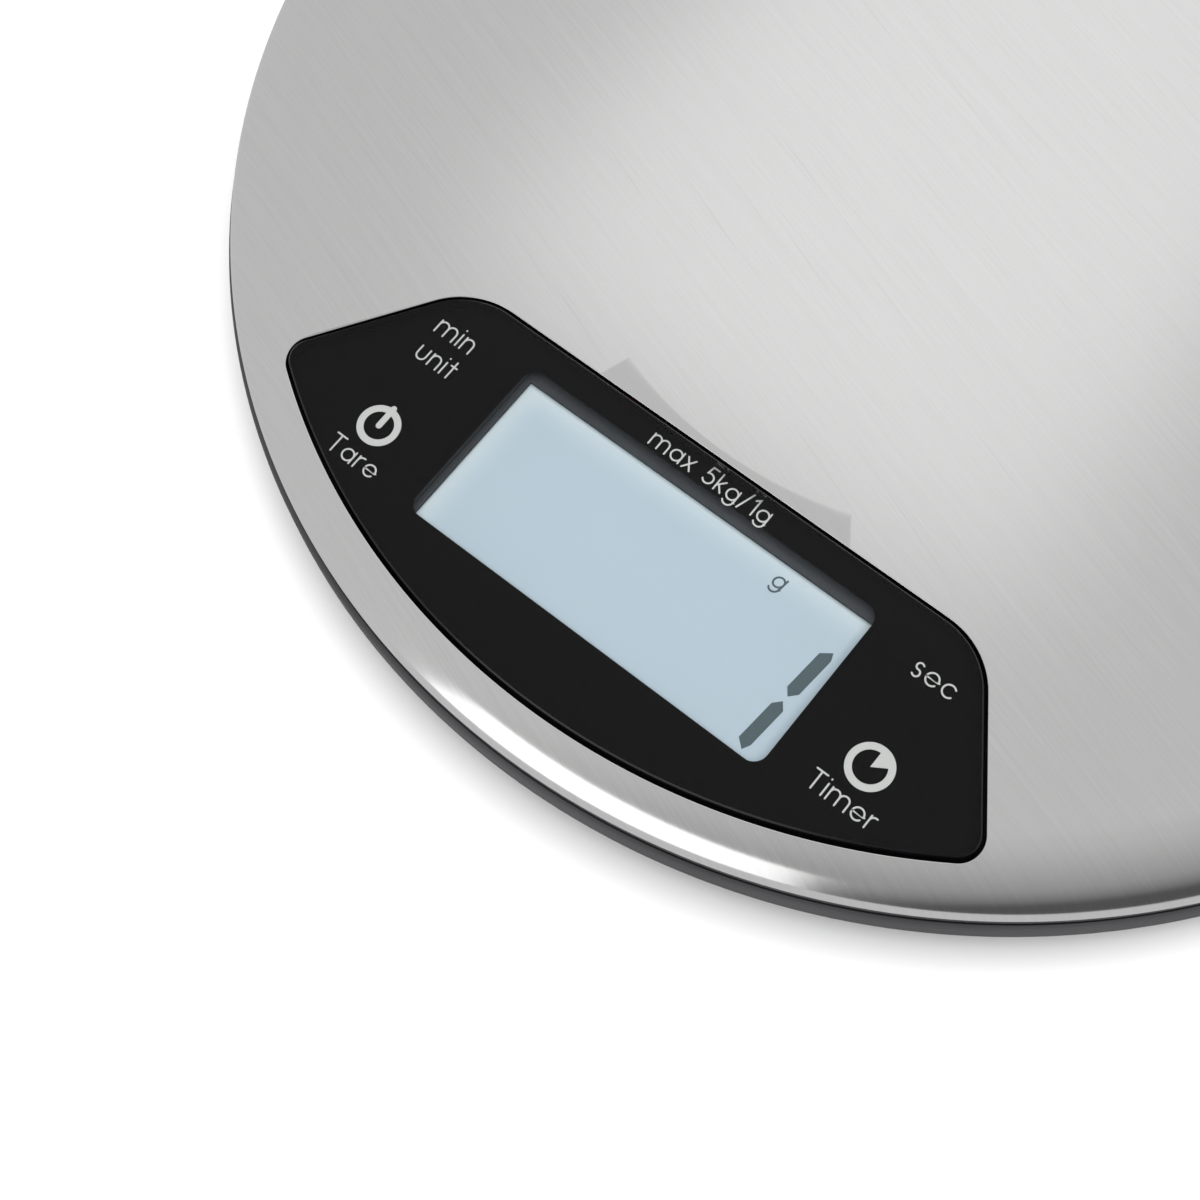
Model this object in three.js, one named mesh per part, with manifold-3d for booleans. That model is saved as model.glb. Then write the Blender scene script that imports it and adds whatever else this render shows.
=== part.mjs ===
// A round electronic kitchen scale: a stainless steel platform floats on a strain-gauge load cell
// above a shallow plastic base, and a display module fixed to the base looks through a cut-out in
// the platform. Millimetres, +Z up, the display at -Y, the origin on the worktop below the centre.

import * as THREE from "three";
import { mergeVertices } from "three/addons/utils/BufferGeometryUtils.js";
import Module from "manifold-3d";

const wasm = await Module();
wasm.setup();

// ---------------------------------------------------------------- driving dimensions

const SEAT = 0.05; // air left between two pieces that rest on each other
const ROUND = 60; // facets of the large circles

// platform
const PLATFORM_RADIUS = 112.5;
const PLATFORM_TOP = 19.6;
const SHEET = 0.6;
const RIM_REACH = 12.5; // the pressed edge is a quarter ellipse, this far in from the rim
const RIM_DROP = 5.5; // and this far down
const RIM_SKIRT = 1.2;
const TRAVEL = 0.5; // how far the platform sinks before the overload stop
const CARRIER_THICKNESS = 2.4;
const CARRIER_MARGIN = 3.5; // carrier beyond the flat part of the sheet
const CARRIER_RIB = 1.6;
const TAPE_THICKNESS = 0.3;

// base
const FOOT_PROTRUSION = 1.6;
const FOOT_RADIUS = 6;
const FOOT_SINK = 1;
const FOOT_INSET = 17.5; // foot centres, in from the platform's rim
const FLOOR = 2;
const SHADOW_GAP = 0.9; // between the platform's skirt and the base wall
const BASE_OVERHANG = 0.8; // base wall beyond the platform's rim
const BASE_WALL = 3;
const BASE_TAPER_OUT = 6;
const BASE_TAPER_UP = 6.6;
const LIP_HEIGHT = 2;
const LIP_THICKNESS = 1;
const RIB_THICKNESS = 1.5;
const RIB_HEIGHT = 2.4;
const STOP_GAP = TRAVEL + 0.1;

// load cell
const CELL_LENGTH = 70;
const CELL_WIDTH = 12.7;
const CELL_CLEARANCE = 2.4; // below the bar, and the height of the plinth that holds it
const CELL_PLINTH = 21;
const CELL_HOLES = [5, 17]; // from each end of the bar
const CELL_FLEXURE_RADIUS = 3;
const CELL_FLEXURE_SPREAD = 5.5;
const SPACER_THICKNESS = 1.5;
const SCREW_M4 = 2;

// display module
const LENS_RIM_BAND = 7; // steel between the lens and the rim
const LENS_DEPTH = 43.8; // chord to arc
const LENS_CHORD_HALF = 45; // before the corners are rounded
const LENS_SIDE_ANGLE = 34.7; // degrees from Y
const LENS_CHORD_CORNER = 12;
const LENS_ARC_CORNER = 3.2;
const LENS_THICKNESS = 2.5;
const LENS_PROUD = 0.4;
const LENS_GAP = 0.5; // all round, so that the platform can move
const LENS_CHAMFER = 0.3;
const GASKET_THICKNESS = 0.3;
const FRAME_WALL = 1.6;
const FRAME_DECK = 1.2;
const FRAME_GAP_TO_CARRIER = 1.5;
const WINDOW_WIDTH = 62.4;
const WINDOW_INSET = 3.7; // from the lens chord
const WINDOW_TO_ARC = 12.3; // from the front of the lens arc
const LCD_MARGIN = { side: 2.25, rear: 0.5, front: 2.3 }; // glass beyond the window
const LCD_THICKNESS = 2.1;
const BEZEL_WALL = 0.8;
const BEZEL_LIP = 0.8;
const BEZEL_SHOW = { left: 0.4, right: 0.3, rear: 1.5, front: 0.3 }; // lip seen inside the window
const ELASTOMER = { width: 2, height: 2 };
const PCB_THICKNESS = 1;
const PCB_MARGIN = 3;
const KEY_FRONT = { out: 11.25, toArc: 19.6 }; // out from the window's side, in from the lens arc
const KEY_REAR = { out: 8.75, fromChord: 13 };
const KEY_HOLE_RADIUS = 4.7;
const SPRING_RADIUS = 3.6;
const SPRING_WIRE = 0.3;
const LEG_RADIUS = 3.2;
const LEG_REAR = { out: 8.25, fromChord: 5.2 };
const LEG_FRONT = { out: 21.25, toArc: 21 };
const POST_RADIUS = 2;
const POST_SIDE = { out: 16.95, fromChord: 16 };
const POST_FRONT = { x: 12, toArc: 6.6 };

// battery
const COIN_RADIUS = 10;
const COIN_HEIGHT = 3.2;
const BAY_FROM_RIM = 50.5; // bay centre, in from the platform's rim
const BAY_SIDE = 5; // bay beyond the cell, left and right
const BAY_END = 3; // bay beyond the cell, front and rear
const BAY_WALL = 1.2;
const DOOR_THICKNESS = 1.6;
const DOOR_GAP = 0.3;
const HOOK = { width: 4, reach: 2.2, rise: 0.35, thickness: 1.2, neck: 1.5, x: 9 };

const CABLE_RADIUS = 0.9;
const LEAD_RADIUS = 0.6;

// ---------------------------------------------------------------- levels and places worked out from them

const FLAT_RADIUS = PLATFORM_RADIUS - RIM_REACH;
const RIM_BOTTOM = PLATFORM_TOP - RIM_DROP - RIM_SKIRT;
const TAPE_TOP = PLATFORM_TOP - SHEET - SEAT;
const CARRIER_TOP = TAPE_TOP - TAPE_THICKNESS - SEAT;
const CARRIER_BOTTOM = CARRIER_TOP - CARRIER_THICKNESS;
const CARRIER_RADIUS = FLAT_RADIUS + CARRIER_MARGIN;

const FLOOR_BOTTOM = FOOT_PROTRUSION;
const FLOOR_TOP = FLOOR_BOTTOM + FLOOR;
const WALL_TOP = RIM_BOTTOM - SHADOW_GAP;
const BASE_RADIUS = PLATFORM_RADIUS + BASE_OVERHANG;
const BASE_INNER = BASE_RADIUS - BASE_WALL;
const TAPER_TOP = FLOOR_BOTTOM + BASE_TAPER_UP;
const FLOOR_RADIUS = BASE_INNER - BASE_TAPER_OUT;

const CELL_BOTTOM = FLOOR_TOP + CELL_CLEARANCE + SEAT;
const CELL_TOP = CARRIER_BOTTOM - SPACER_THICKNESS - 2 * SEAT;
const CELL_HALF = CELL_LENGTH / 2;

const LENS_TOP = PLATFORM_TOP + LENS_PROUD;
const LENS_BOTTOM = LENS_TOP - LENS_THICKNESS;
const ARC_RADIUS = PLATFORM_RADIUS - LENS_RIM_BAND;
const CHORD = ARC_RADIUS - LENS_DEPTH;
const SIDE_ANGLE = THREE.MathUtils.degToRad(LENS_SIDE_ANGLE);
const DECK_TOP = LENS_BOTTOM - GASKET_THICKNESS - 2 * SEAT;
const DECK_BOTTOM = DECK_TOP - FRAME_DECK;
const BEZEL_TOP = DECK_BOTTOM - SEAT;
const LCD_TOP = BEZEL_TOP - BEZEL_LIP - SEAT;
const LCD_BOTTOM = LCD_TOP - LCD_THICKNESS;
const PCB_TOP = LCD_BOTTOM - ELASTOMER.height - 2 * SEAT;
const PCB_BOTTOM = PCB_TOP - PCB_THICKNESS;
const WINDOW = {
  x: WINDOW_WIDTH / 2,
  rear: -(CHORD + WINDOW_INSET),
  front: -(ARC_RADIUS - WINDOW_TO_ARC),
};
const LCD = {
  x: WINDOW.x + LCD_MARGIN.side,
  rear: WINDOW.rear + LCD_MARGIN.rear,
  front: WINDOW.front - LCD_MARGIN.front,
};
/** The left and the right place at a distance out from the window, by the chord or by the arc. */
function besideWindow({ out, fromChord, toArc }) {
  const y = toArc === undefined ? -(CHORD + fromChord) : -(ARC_RADIUS - toArc);
  return [[-(WINDOW.x + out), y], [WINDOW.x + out, y]];
}

const [UNIT_KEY, SECOND_KEY] = besideWindow(KEY_REAR);
const [TARE_KEY, TIMER_KEY] = besideWindow(KEY_FRONT);
const KEYS = { unit: UNIT_KEY, tare: TARE_KEY, second: SECOND_KEY, timer: TIMER_KEY };
const LEG_PLACES = [...besideWindow(LEG_REAR), ...besideWindow(LEG_FRONT)];
const POST_PLACES = [
  [-POST_FRONT.x, -(ARC_RADIUS - POST_FRONT.toArc)],
  [POST_FRONT.x, -(ARC_RADIUS - POST_FRONT.toArc)],
  ...besideWindow(POST_SIDE),
];

const BAY_Y = PLATFORM_RADIUS - BAY_FROM_RIM;
const BAY = {
  x: COIN_RADIUS + BAY_SIDE,
  front: BAY_Y - COIN_RADIUS - BAY_END,
  rear: BAY_Y + COIN_RADIUS + BAY_END,
};
const HOOK_ROOM = HOOK.reach + 0.6; // the bay is this much longer than its door, for the hooks
const COIN_BOTTOM = FLOOR_TOP + 0.4;
const COIN_TOP = COIN_BOTTOM + COIN_HEIGHT;
const CONTACT_ROOM = 0.9;
const BAY_ROOF = COIN_TOP + CONTACT_ROOM;

const FEET = [
  ["foot_front_left", -135],
  ["foot_front_right", -45],
  ["foot_rear_left", 135],
  ["foot_rear_right", 45],
];
const FOOT_CIRCLE = PLATFORM_RADIUS - FOOT_INSET;
const degrees = THREE.MathUtils.degToRad;

// ---------------------------------------------------------------- materials

const plain = (color, roughness, metalness = 0) =>
  new THREE.MeshStandardMaterial({ color, roughness, metalness });
const STEEL = plain(0xc4c4c4, 0.35, 1);
const DARK_PLASTIC = plain(0x4c4c4e, 0.6);
const BLACK_PLASTIC = plain(0x1b1b1d, 0.5);
const BLACK_LENS = plain(0x101012, 0.08);
const RUBBER = plain(0x2a2a2a, 0.9);
const ALUMINIUM = plain(0xb8bcc0, 0.45, 1);
const ZINC = plain(0xa8a8a4, 0.4, 1);
const WHITE_SEAL = plain(0xe6e4dc, 0.6);
const GLASS = plain(0xb9cbd8, 0.2);
const BOARD = plain(0x1f5a36, 0.5);
const CONTACT = plain(0xc9b26a, 0.35, 1);
const CELL_CAN = plain(0xc8c8c6, 0.3, 1);
const FOAM = plain(0x303032, 0.95);
const RED_WIRE = plain(0x9c2620, 0.5);
const BLACK_WIRE = plain(0x202020, 0.5);
const GREY_WIRE = plain(0x77797c, 0.5);

// ---------------------------------------------------------------- solids

/** A closed three.js geometry as a manifold-3d solid. */
function solid(geometry) {
  const bare = geometry.clone();
  bare.deleteAttribute("normal");
  bare.deleteAttribute("uv");
  const merged = mergeVertices(bare, 1e-4);
  const index = merged.index.array;
  const kept = [];
  for (let i = 0; i < index.length; i += 3) {
    const [a, b, c] = [index[i], index[i + 1], index[i + 2]];
    if (a !== b && b !== c && a !== c) kept.push(a, b, c);
  }
  return new wasm.Manifold(
    new wasm.Mesh({
      numProp: 3,
      vertProperties: merged.attributes.position.array,
      triVerts: new Uint32Array(kept),
    }),
  );
}

/** A named mesh of one manifold-3d solid. */
function piece(name, made, material) {
  const { vertProperties, triVerts } = made.getMesh();
  const geometry = new THREE.BufferGeometry();
  geometry.setAttribute("position", new THREE.BufferAttribute(vertProperties, 3));
  geometry.setIndex(new THREE.BufferAttribute(triVerts, 1));
  geometry.computeVertexNormals();
  const mesh = new THREE.Mesh(geometry, material);
  mesh.name = name;
  return mesh;
}

function box(x0, x1, y0, y1, z0, z1) {
  const made = new THREE.BoxGeometry(x1 - x0, y1 - y0, z1 - z0);
  return solid(made.translate((x0 + x1) / 2, (y0 + y1) / 2, (z0 + z1) / 2));
}

/** An upright cylinder or cone from z0 to z1. */
function cylinder(radius, z0, z1, [x, y] = [0, 0], facets = 24, topRadius = radius) {
  const made = new THREE.CylinderGeometry(topRadius, radius, z1 - z0, facets);
  return solid(made.rotateX(Math.PI / 2).translate(x, y, (z0 + z1) / 2));
}

/** A solid of revolution about Z: [radius, height] pairs, anticlockwise. */
function turned(profile, facets = ROUND) {
  const points = profile.map(([r, z]) => new THREE.Vector2(r, z));
  return solid(new THREE.LatheGeometry(points, facets).rotateX(Math.PI / 2));
}

function extruded(shape, z0, z1, curveSegments = 4) {
  const made = new THREE.ExtrudeGeometry(shape, {
    depth: z1 - z0,
    bevelEnabled: false,
    curveSegments,
  });
  return solid(made.translate(0, 0, z0));
}

function union(first, ...others) {
  return others.reduce((sum, next) => sum.add(next), first);
}

function cut(first, ...others) {
  return others.reduce((left, next) => left.subtract(next), first);
}

/** The lens outline, grown by a distance: a chord, two slanting sides and an arc, all rounded. */
function lensOutline(grow = 0) {
  const normal = new THREE.Vector2(Math.cos(SIDE_ANGLE), Math.sin(SIDE_ANGLE));
  const side = new THREE.Vector2(Math.sin(SIDE_ANGLE), -Math.cos(SIDE_ANGLE));
  const offset = LENS_CHORD_HALF * normal.x - CHORD * normal.y; // of the side, from the centre
  const rearY = -(CHORD + LENS_CHORD_CORNER);
  const rearX = (offset - LENS_CHORD_CORNER - rearY * normal.y) / normal.x;
  const rear = new THREE.Vector2(rearX, rearY);
  const inset = offset - LENS_ARC_CORNER;
  const along = Math.sqrt((ARC_RADIUS - LENS_ARC_CORNER) ** 2 - inset ** 2);
  const front = side.multiplyScalar(along).addScaledVector(normal, inset);
  const sideTurn = SIDE_ANGLE;
  const arcTurn = Math.atan2(front.y, front.x);
  const rearRadius = LENS_CHORD_CORNER + grow;
  const frontRadius = LENS_ARC_CORNER + grow;
  const shape = new THREE.Shape();
  shape.absarc(rear.x, rear.y, rearRadius, Math.PI / 2, sideTurn, true);
  shape.absarc(front.x, front.y, frontRadius, sideTurn, arcTurn, true);
  shape.absarc(0, 0, ARC_RADIUS + grow, arcTurn, -Math.PI - arcTurn, true);
  shape.absarc(-front.x, front.y, frontRadius, -Math.PI - arcTurn, -Math.PI - sideTurn, true);
  shape.absarc(-rear.x, rear.y, rearRadius, Math.PI - sideTurn, Math.PI / 2, true);
  return shape;
}

const lensPrism = (grow, z0, z1) => extruded(lensOutline(grow), z0, z1);

/** A prism over the display window, grown on every side. */
const windowPrism = (grow, z0, z1) =>
  box(-WINDOW.x - grow, WINDOW.x + grow, WINDOW.front - grow, WINDOW.rear + grow, z0, z1);

/** Ribs that run outwards from one radius to another, at angles in degrees. */
function radialRibs(angles, from, to, z0, z1) {
  return union(
    ...angles.map((angle) =>
      box(from, to, -RIB_THICKNESS / 2, RIB_THICKNESS / 2, z0, z1).rotate([0, 0, angle]),
    ),
  );
}

/** A round tube along a smooth curve through points. */
function tube(points, radius, steps) {
  const path = new THREE.CatmullRomCurve3(points.map((p) => new THREE.Vector3(...p)));
  const section = new THREE.Shape();
  section.absarc(0, 0, radius, 0, 2 * Math.PI);
  return solid(
    new THREE.ExtrudeGeometry(section, {
      steps,
      extrudePath: path,
      bevelEnabled: false,
      curveSegments: 3,
    }),
  );
}

/** A screw that points up from its head, with the head's underside at z = 0. */
function screw(shankRadius, length, headRadius, headHeight) {
  const shank = cylinder(shankRadius, -headHeight / 2, length, [0, 0], 12);
  const head = cylinder(headRadius * 0.8, -headHeight, 0, [0, 0], 16, headRadius);
  const arm = headRadius * 0.6;
  const slot = 0.3;
  const depth = -headHeight * 0.55;
  const cross = union(
    box(-arm, arm, -slot, slot, -2 * headHeight, depth),
    box(-slot, slot, -arm, arm, -2 * headHeight, depth),
  );
  return cut(union(shank, head), cross);
}

// ---------------------------------------------------------------- base

const FRAME_SCREW = { shank: 1.3, length: 8, head: 2.4, height: 1 };
const PCB_SCREW = { shank: 1, length: 3.6, head: 1.9, height: 1.1 };
const CELL_SCREW = { shank: SCREW_M4, length: 6.5, head: 3.6, height: 1.4 };
const CELL_SCREW_POCKET = CELL_SCREW.height + 0.2;
const HEAD_CLEARANCE = 0.35;
const STOP_SCREW_X = CELL_HALF - 3;

const footPlace = (angle) => [
  FOOT_CIRCLE * Math.cos(degrees(angle)),
  FOOT_CIRCLE * Math.sin(degrees(angle)),
];
const fixedHoles = CELL_HOLES.map((from) => [-CELL_HALF + from, 0]);
const freeHoles = CELL_HOLES.map((from) => [CELL_HALF - from, 0]);

function baseShell() {
  const tray = turned([
    [0, FLOOR_BOTTOM],
    [BASE_RADIUS - BASE_TAPER_OUT, FLOOR_BOTTOM],
    [BASE_RADIUS, TAPER_TOP],
    [BASE_RADIUS, WALL_TOP],
    [BASE_INNER + LIP_THICKNESS, WALL_TOP],
    [BASE_INNER + LIP_THICKNESS, WALL_TOP + LIP_HEIGHT],
    [BASE_INNER, WALL_TOP + LIP_HEIGHT],
    [BASE_INNER, TAPER_TOP + 0.6],
    [FLOOR_RADIUS, FLOOR_TOP],
    [0, FLOOR_TOP],
  ]);
  const plinth = box(
    -CELL_HALF - 1,
    -CELL_HALF + CELL_PLINTH,
    -CELL_WIDTH / 2 - 1,
    CELL_WIDTH / 2 + 1,
    FLOOR_BOTTOM + FLOOR / 2,
    CELL_BOTTOM - SEAT,
  );
  const stopBoss = cylinder(3.6, FLOOR_BOTTOM + 0.5, FLOOR_TOP + 1, [STOP_SCREW_X, 0], 20);
  const ribs = radialRibs(
    [-20, 0, 22, 158, 180, 200],
    CELL_HALF + 6,
    FLOOR_RADIUS + 1,
    FLOOR_TOP - 0.5,
    FLOOR_TOP + RIB_HEIGHT,
  );
  const footBosses = FEET.map(([, angle]) =>
    cylinder(FOOT_RADIUS + 2.2, FLOOR_TOP - 0.5, FLOOR_TOP + FOOT_SINK, footPlace(angle), 28),
  );
  const stops = [-25, 35, 90, 145, 205].map((angle) => {
    const reach = CARRIER_RADIUS - 1.2;
    const place = [reach * Math.cos(degrees(angle)), reach * Math.sin(degrees(angle))];
    return cylinder(2.2, FLOOR_TOP - 0.5, CARRIER_BOTTOM - CARRIER_RIB - STOP_GAP, place, 12);
  });
  const bayOuter = box(
    -BAY.x - BAY_WALL,
    BAY.x + BAY_WALL,
    BAY.front - HOOK_ROOM - BAY_WALL,
    BAY.rear + BAY_WALL,
    FLOOR_TOP - 0.5,
    BAY_ROOF + BAY_WALL,
  );
  const bayInner = box(-BAY.x, BAY.x, BAY.front - HOOK_ROOM, BAY.rear, FLOOR_TOP, BAY_ROOF);
  const doorway = box(-BAY.x, BAY.x, BAY.front, BAY.rear, FLOOR_BOTTOM - 1, FLOOR_TOP + 1);
  const coinSocket = cylinder(
    COIN_RADIUS + 0.4, FLOOR_TOP - 1, BAY_ROOF, [0, BAY_Y], 32);
  const coinSeat = cut(
    box(-BAY.x, BAY.x, BAY_Y - 4, BAY_Y + 4, COIN_BOTTOM + 0.6, COIN_TOP), coinSocket);
  const nailNotch = box(-6, 6, BAY.rear - 1, BAY.rear + 5, FLOOR_BOTTOM - 1, FLOOR_BOTTOM + 1.1);
  const leadHoles = union(
    box(-BAY.x + 1, -BAY.x + 3, BAY.front - HOOK_ROOM - 2, BAY.front - HOOK_ROOM + 1,
      COIN_TOP - 1.6, COIN_TOP + 0.6),
    box(BAY.x - 3, BAY.x - 1, BAY.front - HOOK_ROOM - 2, BAY.front - HOOK_ROOM + 1,
      COIN_TOP - 1.6, COIN_TOP + 0.6),
  );
  const footPockets = FEET.map(([, angle]) =>
    cylinder(FOOT_RADIUS + 0.3, 0, FLOOR_BOTTOM + FOOT_SINK, footPlace(angle), 28));
  const cellScrewHoles = fixedHoles.flatMap((place) => [
    cylinder(SCREW_M4 + 0.3, 0, CELL_BOTTOM + 1, place, 16),
    cylinder(CELL_SCREW.head + HEAD_CLEARANCE, 0, FLOOR_BOTTOM + CELL_SCREW_POCKET, place, 24),
  ]);
  const stopHole = cylinder(SCREW_M4 + 0.1, 0, CELL_BOTTOM, [STOP_SCREW_X, 0], 16);
  const frameScrewHoles = LEG_PLACES.flatMap((place) => [
    cylinder(FRAME_SCREW.shank + 0.3, 0, FLOOR_TOP + 1, place, 12),
    cylinder(FRAME_SCREW.head + HEAD_CLEARANCE, 0, FLOOR_BOTTOM + FRAME_SCREW.height + 0.1, place, 20),
  ]);
  const soundHoles = [0, 72, 144, 216, 288].map((angle) =>
    cylinder(0.9, 0, FLOOR_TOP + 1, [
      BUZZER_PLACE[0] + 4 * Math.cos(degrees(angle)),
      BUZZER_PLACE[1] + 4 * Math.sin(degrees(angle)),
    ], 10),
  );
  const whole = union(tray, plinth, stopBoss, ribs, ...footBosses, ...stops, bayOuter);
  const hollowed = union(cut(whole, bayInner, doorway), coinSeat);
  return piece(
    "base_shell",
    cut(hollowed, nailNotch, leadHoles, ...footPockets, ...cellScrewHoles, stopHole,
      ...frameScrewHoles, ...soundHoles),
    DARK_PLASTIC,
  );
}

function foot(name, angle) {
  const bevel = 0.5;
  const top = FOOT_PROTRUSION + FOOT_SINK - SEAT;
  const pad = turned(
    [[0, 0], [FOOT_RADIUS - bevel, 0], [FOOT_RADIUS, bevel], [FOOT_RADIUS, top], [0, top]],
    28,
  );
  const made = piece(name, pad, RUBBER);
  const [x, y] = footPlace(angle);
  made.position.set(x, y, 0);
  return made;
}

// ---------------------------------------------------------------- load cell

const SEAL = { half: 8.5, inset: 1.6, thickness: 0.6 };

function loadCell() {
  const bar = box(-CELL_HALF, CELL_HALF, -CELL_WIDTH / 2, CELL_WIDTH / 2, CELL_BOTTOM, CELL_TOP);
  const middle = (CELL_BOTTOM + CELL_TOP) / 2;
  const bore = (x) => {
    const made = new THREE.CylinderGeometry(
      CELL_FLEXURE_RADIUS, CELL_FLEXURE_RADIUS, CELL_WIDTH + 2, 20);
    return solid(made.translate(x, 0, middle));
  };
  const slot = box(
    -CELL_FLEXURE_SPREAD, CELL_FLEXURE_SPREAD, -CELL_WIDTH, CELL_WIDTH, middle - 0.8, middle + 0.8);
  const holes = [...fixedHoles, ...freeHoles].map((place) =>
    cylinder(SCREW_M4 + 0.1, CELL_BOTTOM - 1, CELL_TOP + 1, place, 16));
  const made = cut(bar, bore(-CELL_FLEXURE_SPREAD), bore(CELL_FLEXURE_SPREAD), slot, ...holes);
  return piece("load_cell", made, ALUMINIUM);
}

function cellSeal(name, z0) {
  const side = CELL_WIDTH / 2 - SEAL.inset;
  const made = box(-SEAL.half, SEAL.half, -side, side, z0, z0 + SEAL.thickness);
  return piece(name, made, WHITE_SEAL);
}

function cellSpacer() {
  const plate = box(
    CELL_HALF - CELL_PLINTH,
    CELL_HALF,
    -CELL_WIDTH / 2,
    CELL_WIDTH / 2,
    CELL_TOP + SEAT,
    CARRIER_BOTTOM - SEAT,
  );
  const holes = freeHoles.map((place) =>
    cylinder(SCREW_M4 + 0.2, CELL_TOP - 1, CARRIER_BOTTOM + 1, place, 16));
  return piece("load_cell_spacer", cut(plate, ...holes), ZINC);
}

function baseCellScrew(name, [x, y]) {
  const { shank, length, head, height } = CELL_SCREW;
  const made = piece(name, screw(shank, length, head, height), ZINC);
  made.position.set(x, y, FLOOR_BOTTOM + CELL_SCREW_POCKET - SEAT);
  return made;
}

function topCellScrew(name, [x, y]) {
  const { shank, length, head, height } = CELL_SCREW;
  const made = piece(name, screw(shank, length, head, height), ZINC);
  made.rotation.x = Math.PI;
  made.position.set(x, y, CARRIER_TOP - height - 0.05);
  return made;
}

function stopScrew() {
  const top = CELL_BOTTOM - TRAVEL;
  const body = cylinder(SCREW_M4, FLOOR_BOTTOM + 0.2, top, [STOP_SCREW_X, 0], 16);
  const socket = cylinder(1, FLOOR_BOTTOM - 1, FLOOR_BOTTOM + 1.6, [STOP_SCREW_X, 0], 6);
  return piece("overload_stop_screw", cut(body, socket), ZINC);
}

// ---------------------------------------------------------------- battery

function batteryDoor() {
  const edge = BAY.front + DOOR_GAP;
  const plate = box(
    -BAY.x + DOOR_GAP, BAY.x - DOOR_GAP, edge, BAY.rear - DOOR_GAP,
    FLOOR_BOTTOM, FLOOR_BOTTOM + DOOR_THICKNESS);
  const tabBottom = FLOOR_TOP + HOOK.rise;
  const hooks = [-HOOK.x, HOOK.x].flatMap((x) => {
    const [x0, x1] = [x - HOOK.width / 2, x + HOOK.width / 2];
    const neckEnd = edge + HOOK.neck;
    return [
      box(x0, x1, edge, neckEnd, FLOOR_BOTTOM + 0.5, tabBottom + HOOK.thickness),
      box(x0, x1, BAY.front - HOOK.reach, neckEnd, tabBottom, tabBottom + HOOK.thickness),
    ];
  });
  const pad = box(-6, 6, BAY_Y - 5, BAY_Y + 5, FLOOR_BOTTOM + 0.5, COIN_BOTTOM - SEAT);
  const latch = box(
    -5, 5, BAY.rear - DOOR_GAP - 1.6, BAY.rear - DOOR_GAP,
    FLOOR_BOTTOM + 0.5, FLOOR_TOP - 0.1);
  const slits = [-6, 6].map((x) =>
    box(x - 0.4, x + 0.4, BAY.rear - 7, BAY.rear, FLOOR_BOTTOM - 1, FLOOR_TOP + 1));
  return piece("battery_door", cut(union(plate, ...hooks, pad, latch), ...slits), DARK_PLASTIC);
}

function coinCell() {
  const bevel = 0.5;
  const step = 1.4;
  const can = turned([
    [0, COIN_BOTTOM],
    [COIN_RADIUS - bevel, COIN_BOTTOM],
    [COIN_RADIUS, COIN_BOTTOM + bevel],
    [COIN_RADIUS, COIN_TOP - 0.7],
    [COIN_RADIUS - step, COIN_TOP - 0.35],
    [COIN_RADIUS - step, COIN_TOP],
    [0, COIN_TOP],
  ], 32);
  const made = piece("coin_cell", can, CELL_CAN);
  made.position.y = BAY_Y;
  return made;
}

/** A leaf under the bay's roof that presses on the cell's top, with a tail to its lead. */
function negativeContact() {
  const z = COIN_TOP + 0.15;
  const leaf = box(-BAY.x + 0.4, 3, BAY_Y - 5, BAY_Y - 2, z + 0.3, z + 0.6);
  const dimple = cylinder(1.4, z, z + 0.4, [0, BAY_Y - 3.5], 12);
  const tail = box(-BAY.x + 0.4, -BAY.x + 3.4, BAY.front - 1.5, BAY_Y - 4, z + 0.3, z + 0.6);
  return piece("battery_contact_negative", union(leaf, dimple, tail), CONTACT);
}

/** A strip beside the cell that touches its rim, with a tail to its lead. */
function positiveContact() {
  const [z0, z1] = [COIN_BOTTOM + 0.8, COIN_BOTTOM + 2.6];
  const touch = BAY_Y - 4.6;
  const rimX = Math.sqrt((COIN_RADIUS + 0.15) ** 2 - (touch - BAY_Y) ** 2);
  const blade = box(rimX, BAY.x - 0.5, touch - 0.5, touch, z0, z1);
  const tail = box(BAY.x - 1, BAY.x - 0.5, BAY.front - 1.5, touch, z0, z1);
  return piece("battery_contact_positive", union(blade, tail), CONTACT);
}

// ---------------------------------------------------------------- display module

const BUZZER_PLACE = [30, -(CHORD + 19)];
const BUZZER = { radius: 6, height: 3 };
const CABLE_NOTCH = { x0: -27, x1: -9, top: 10 };

function displayLens() {
  const body = lensPrism(0, LENS_BOTTOM, LENS_TOP - LENS_CHAMFER);
  const crown = lensPrism(-LENS_CHAMFER, LENS_TOP - LENS_CHAMFER - 0.1, LENS_TOP);
  return piece("display_lens", union(body, crown), BLACK_LENS);
}

const keyHoles = (z0, z1) =>
  Object.values(KEYS).map((place) => cylinder(KEY_HOLE_RADIUS, z0, z1, place, 20));

function lensGasket() {
  const [z0, z1] = [DECK_TOP + SEAT, LENS_BOTTOM - SEAT];
  const sheet = lensPrism(-0.8, z0, z1);
  return piece(
    "lens_gasket",
    cut(sheet, windowPrism(0.8, z0 - 1, z1 + 1), ...keyHoles(z0 - 1, z1 + 1)),
    FOAM,
  );
}

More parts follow.
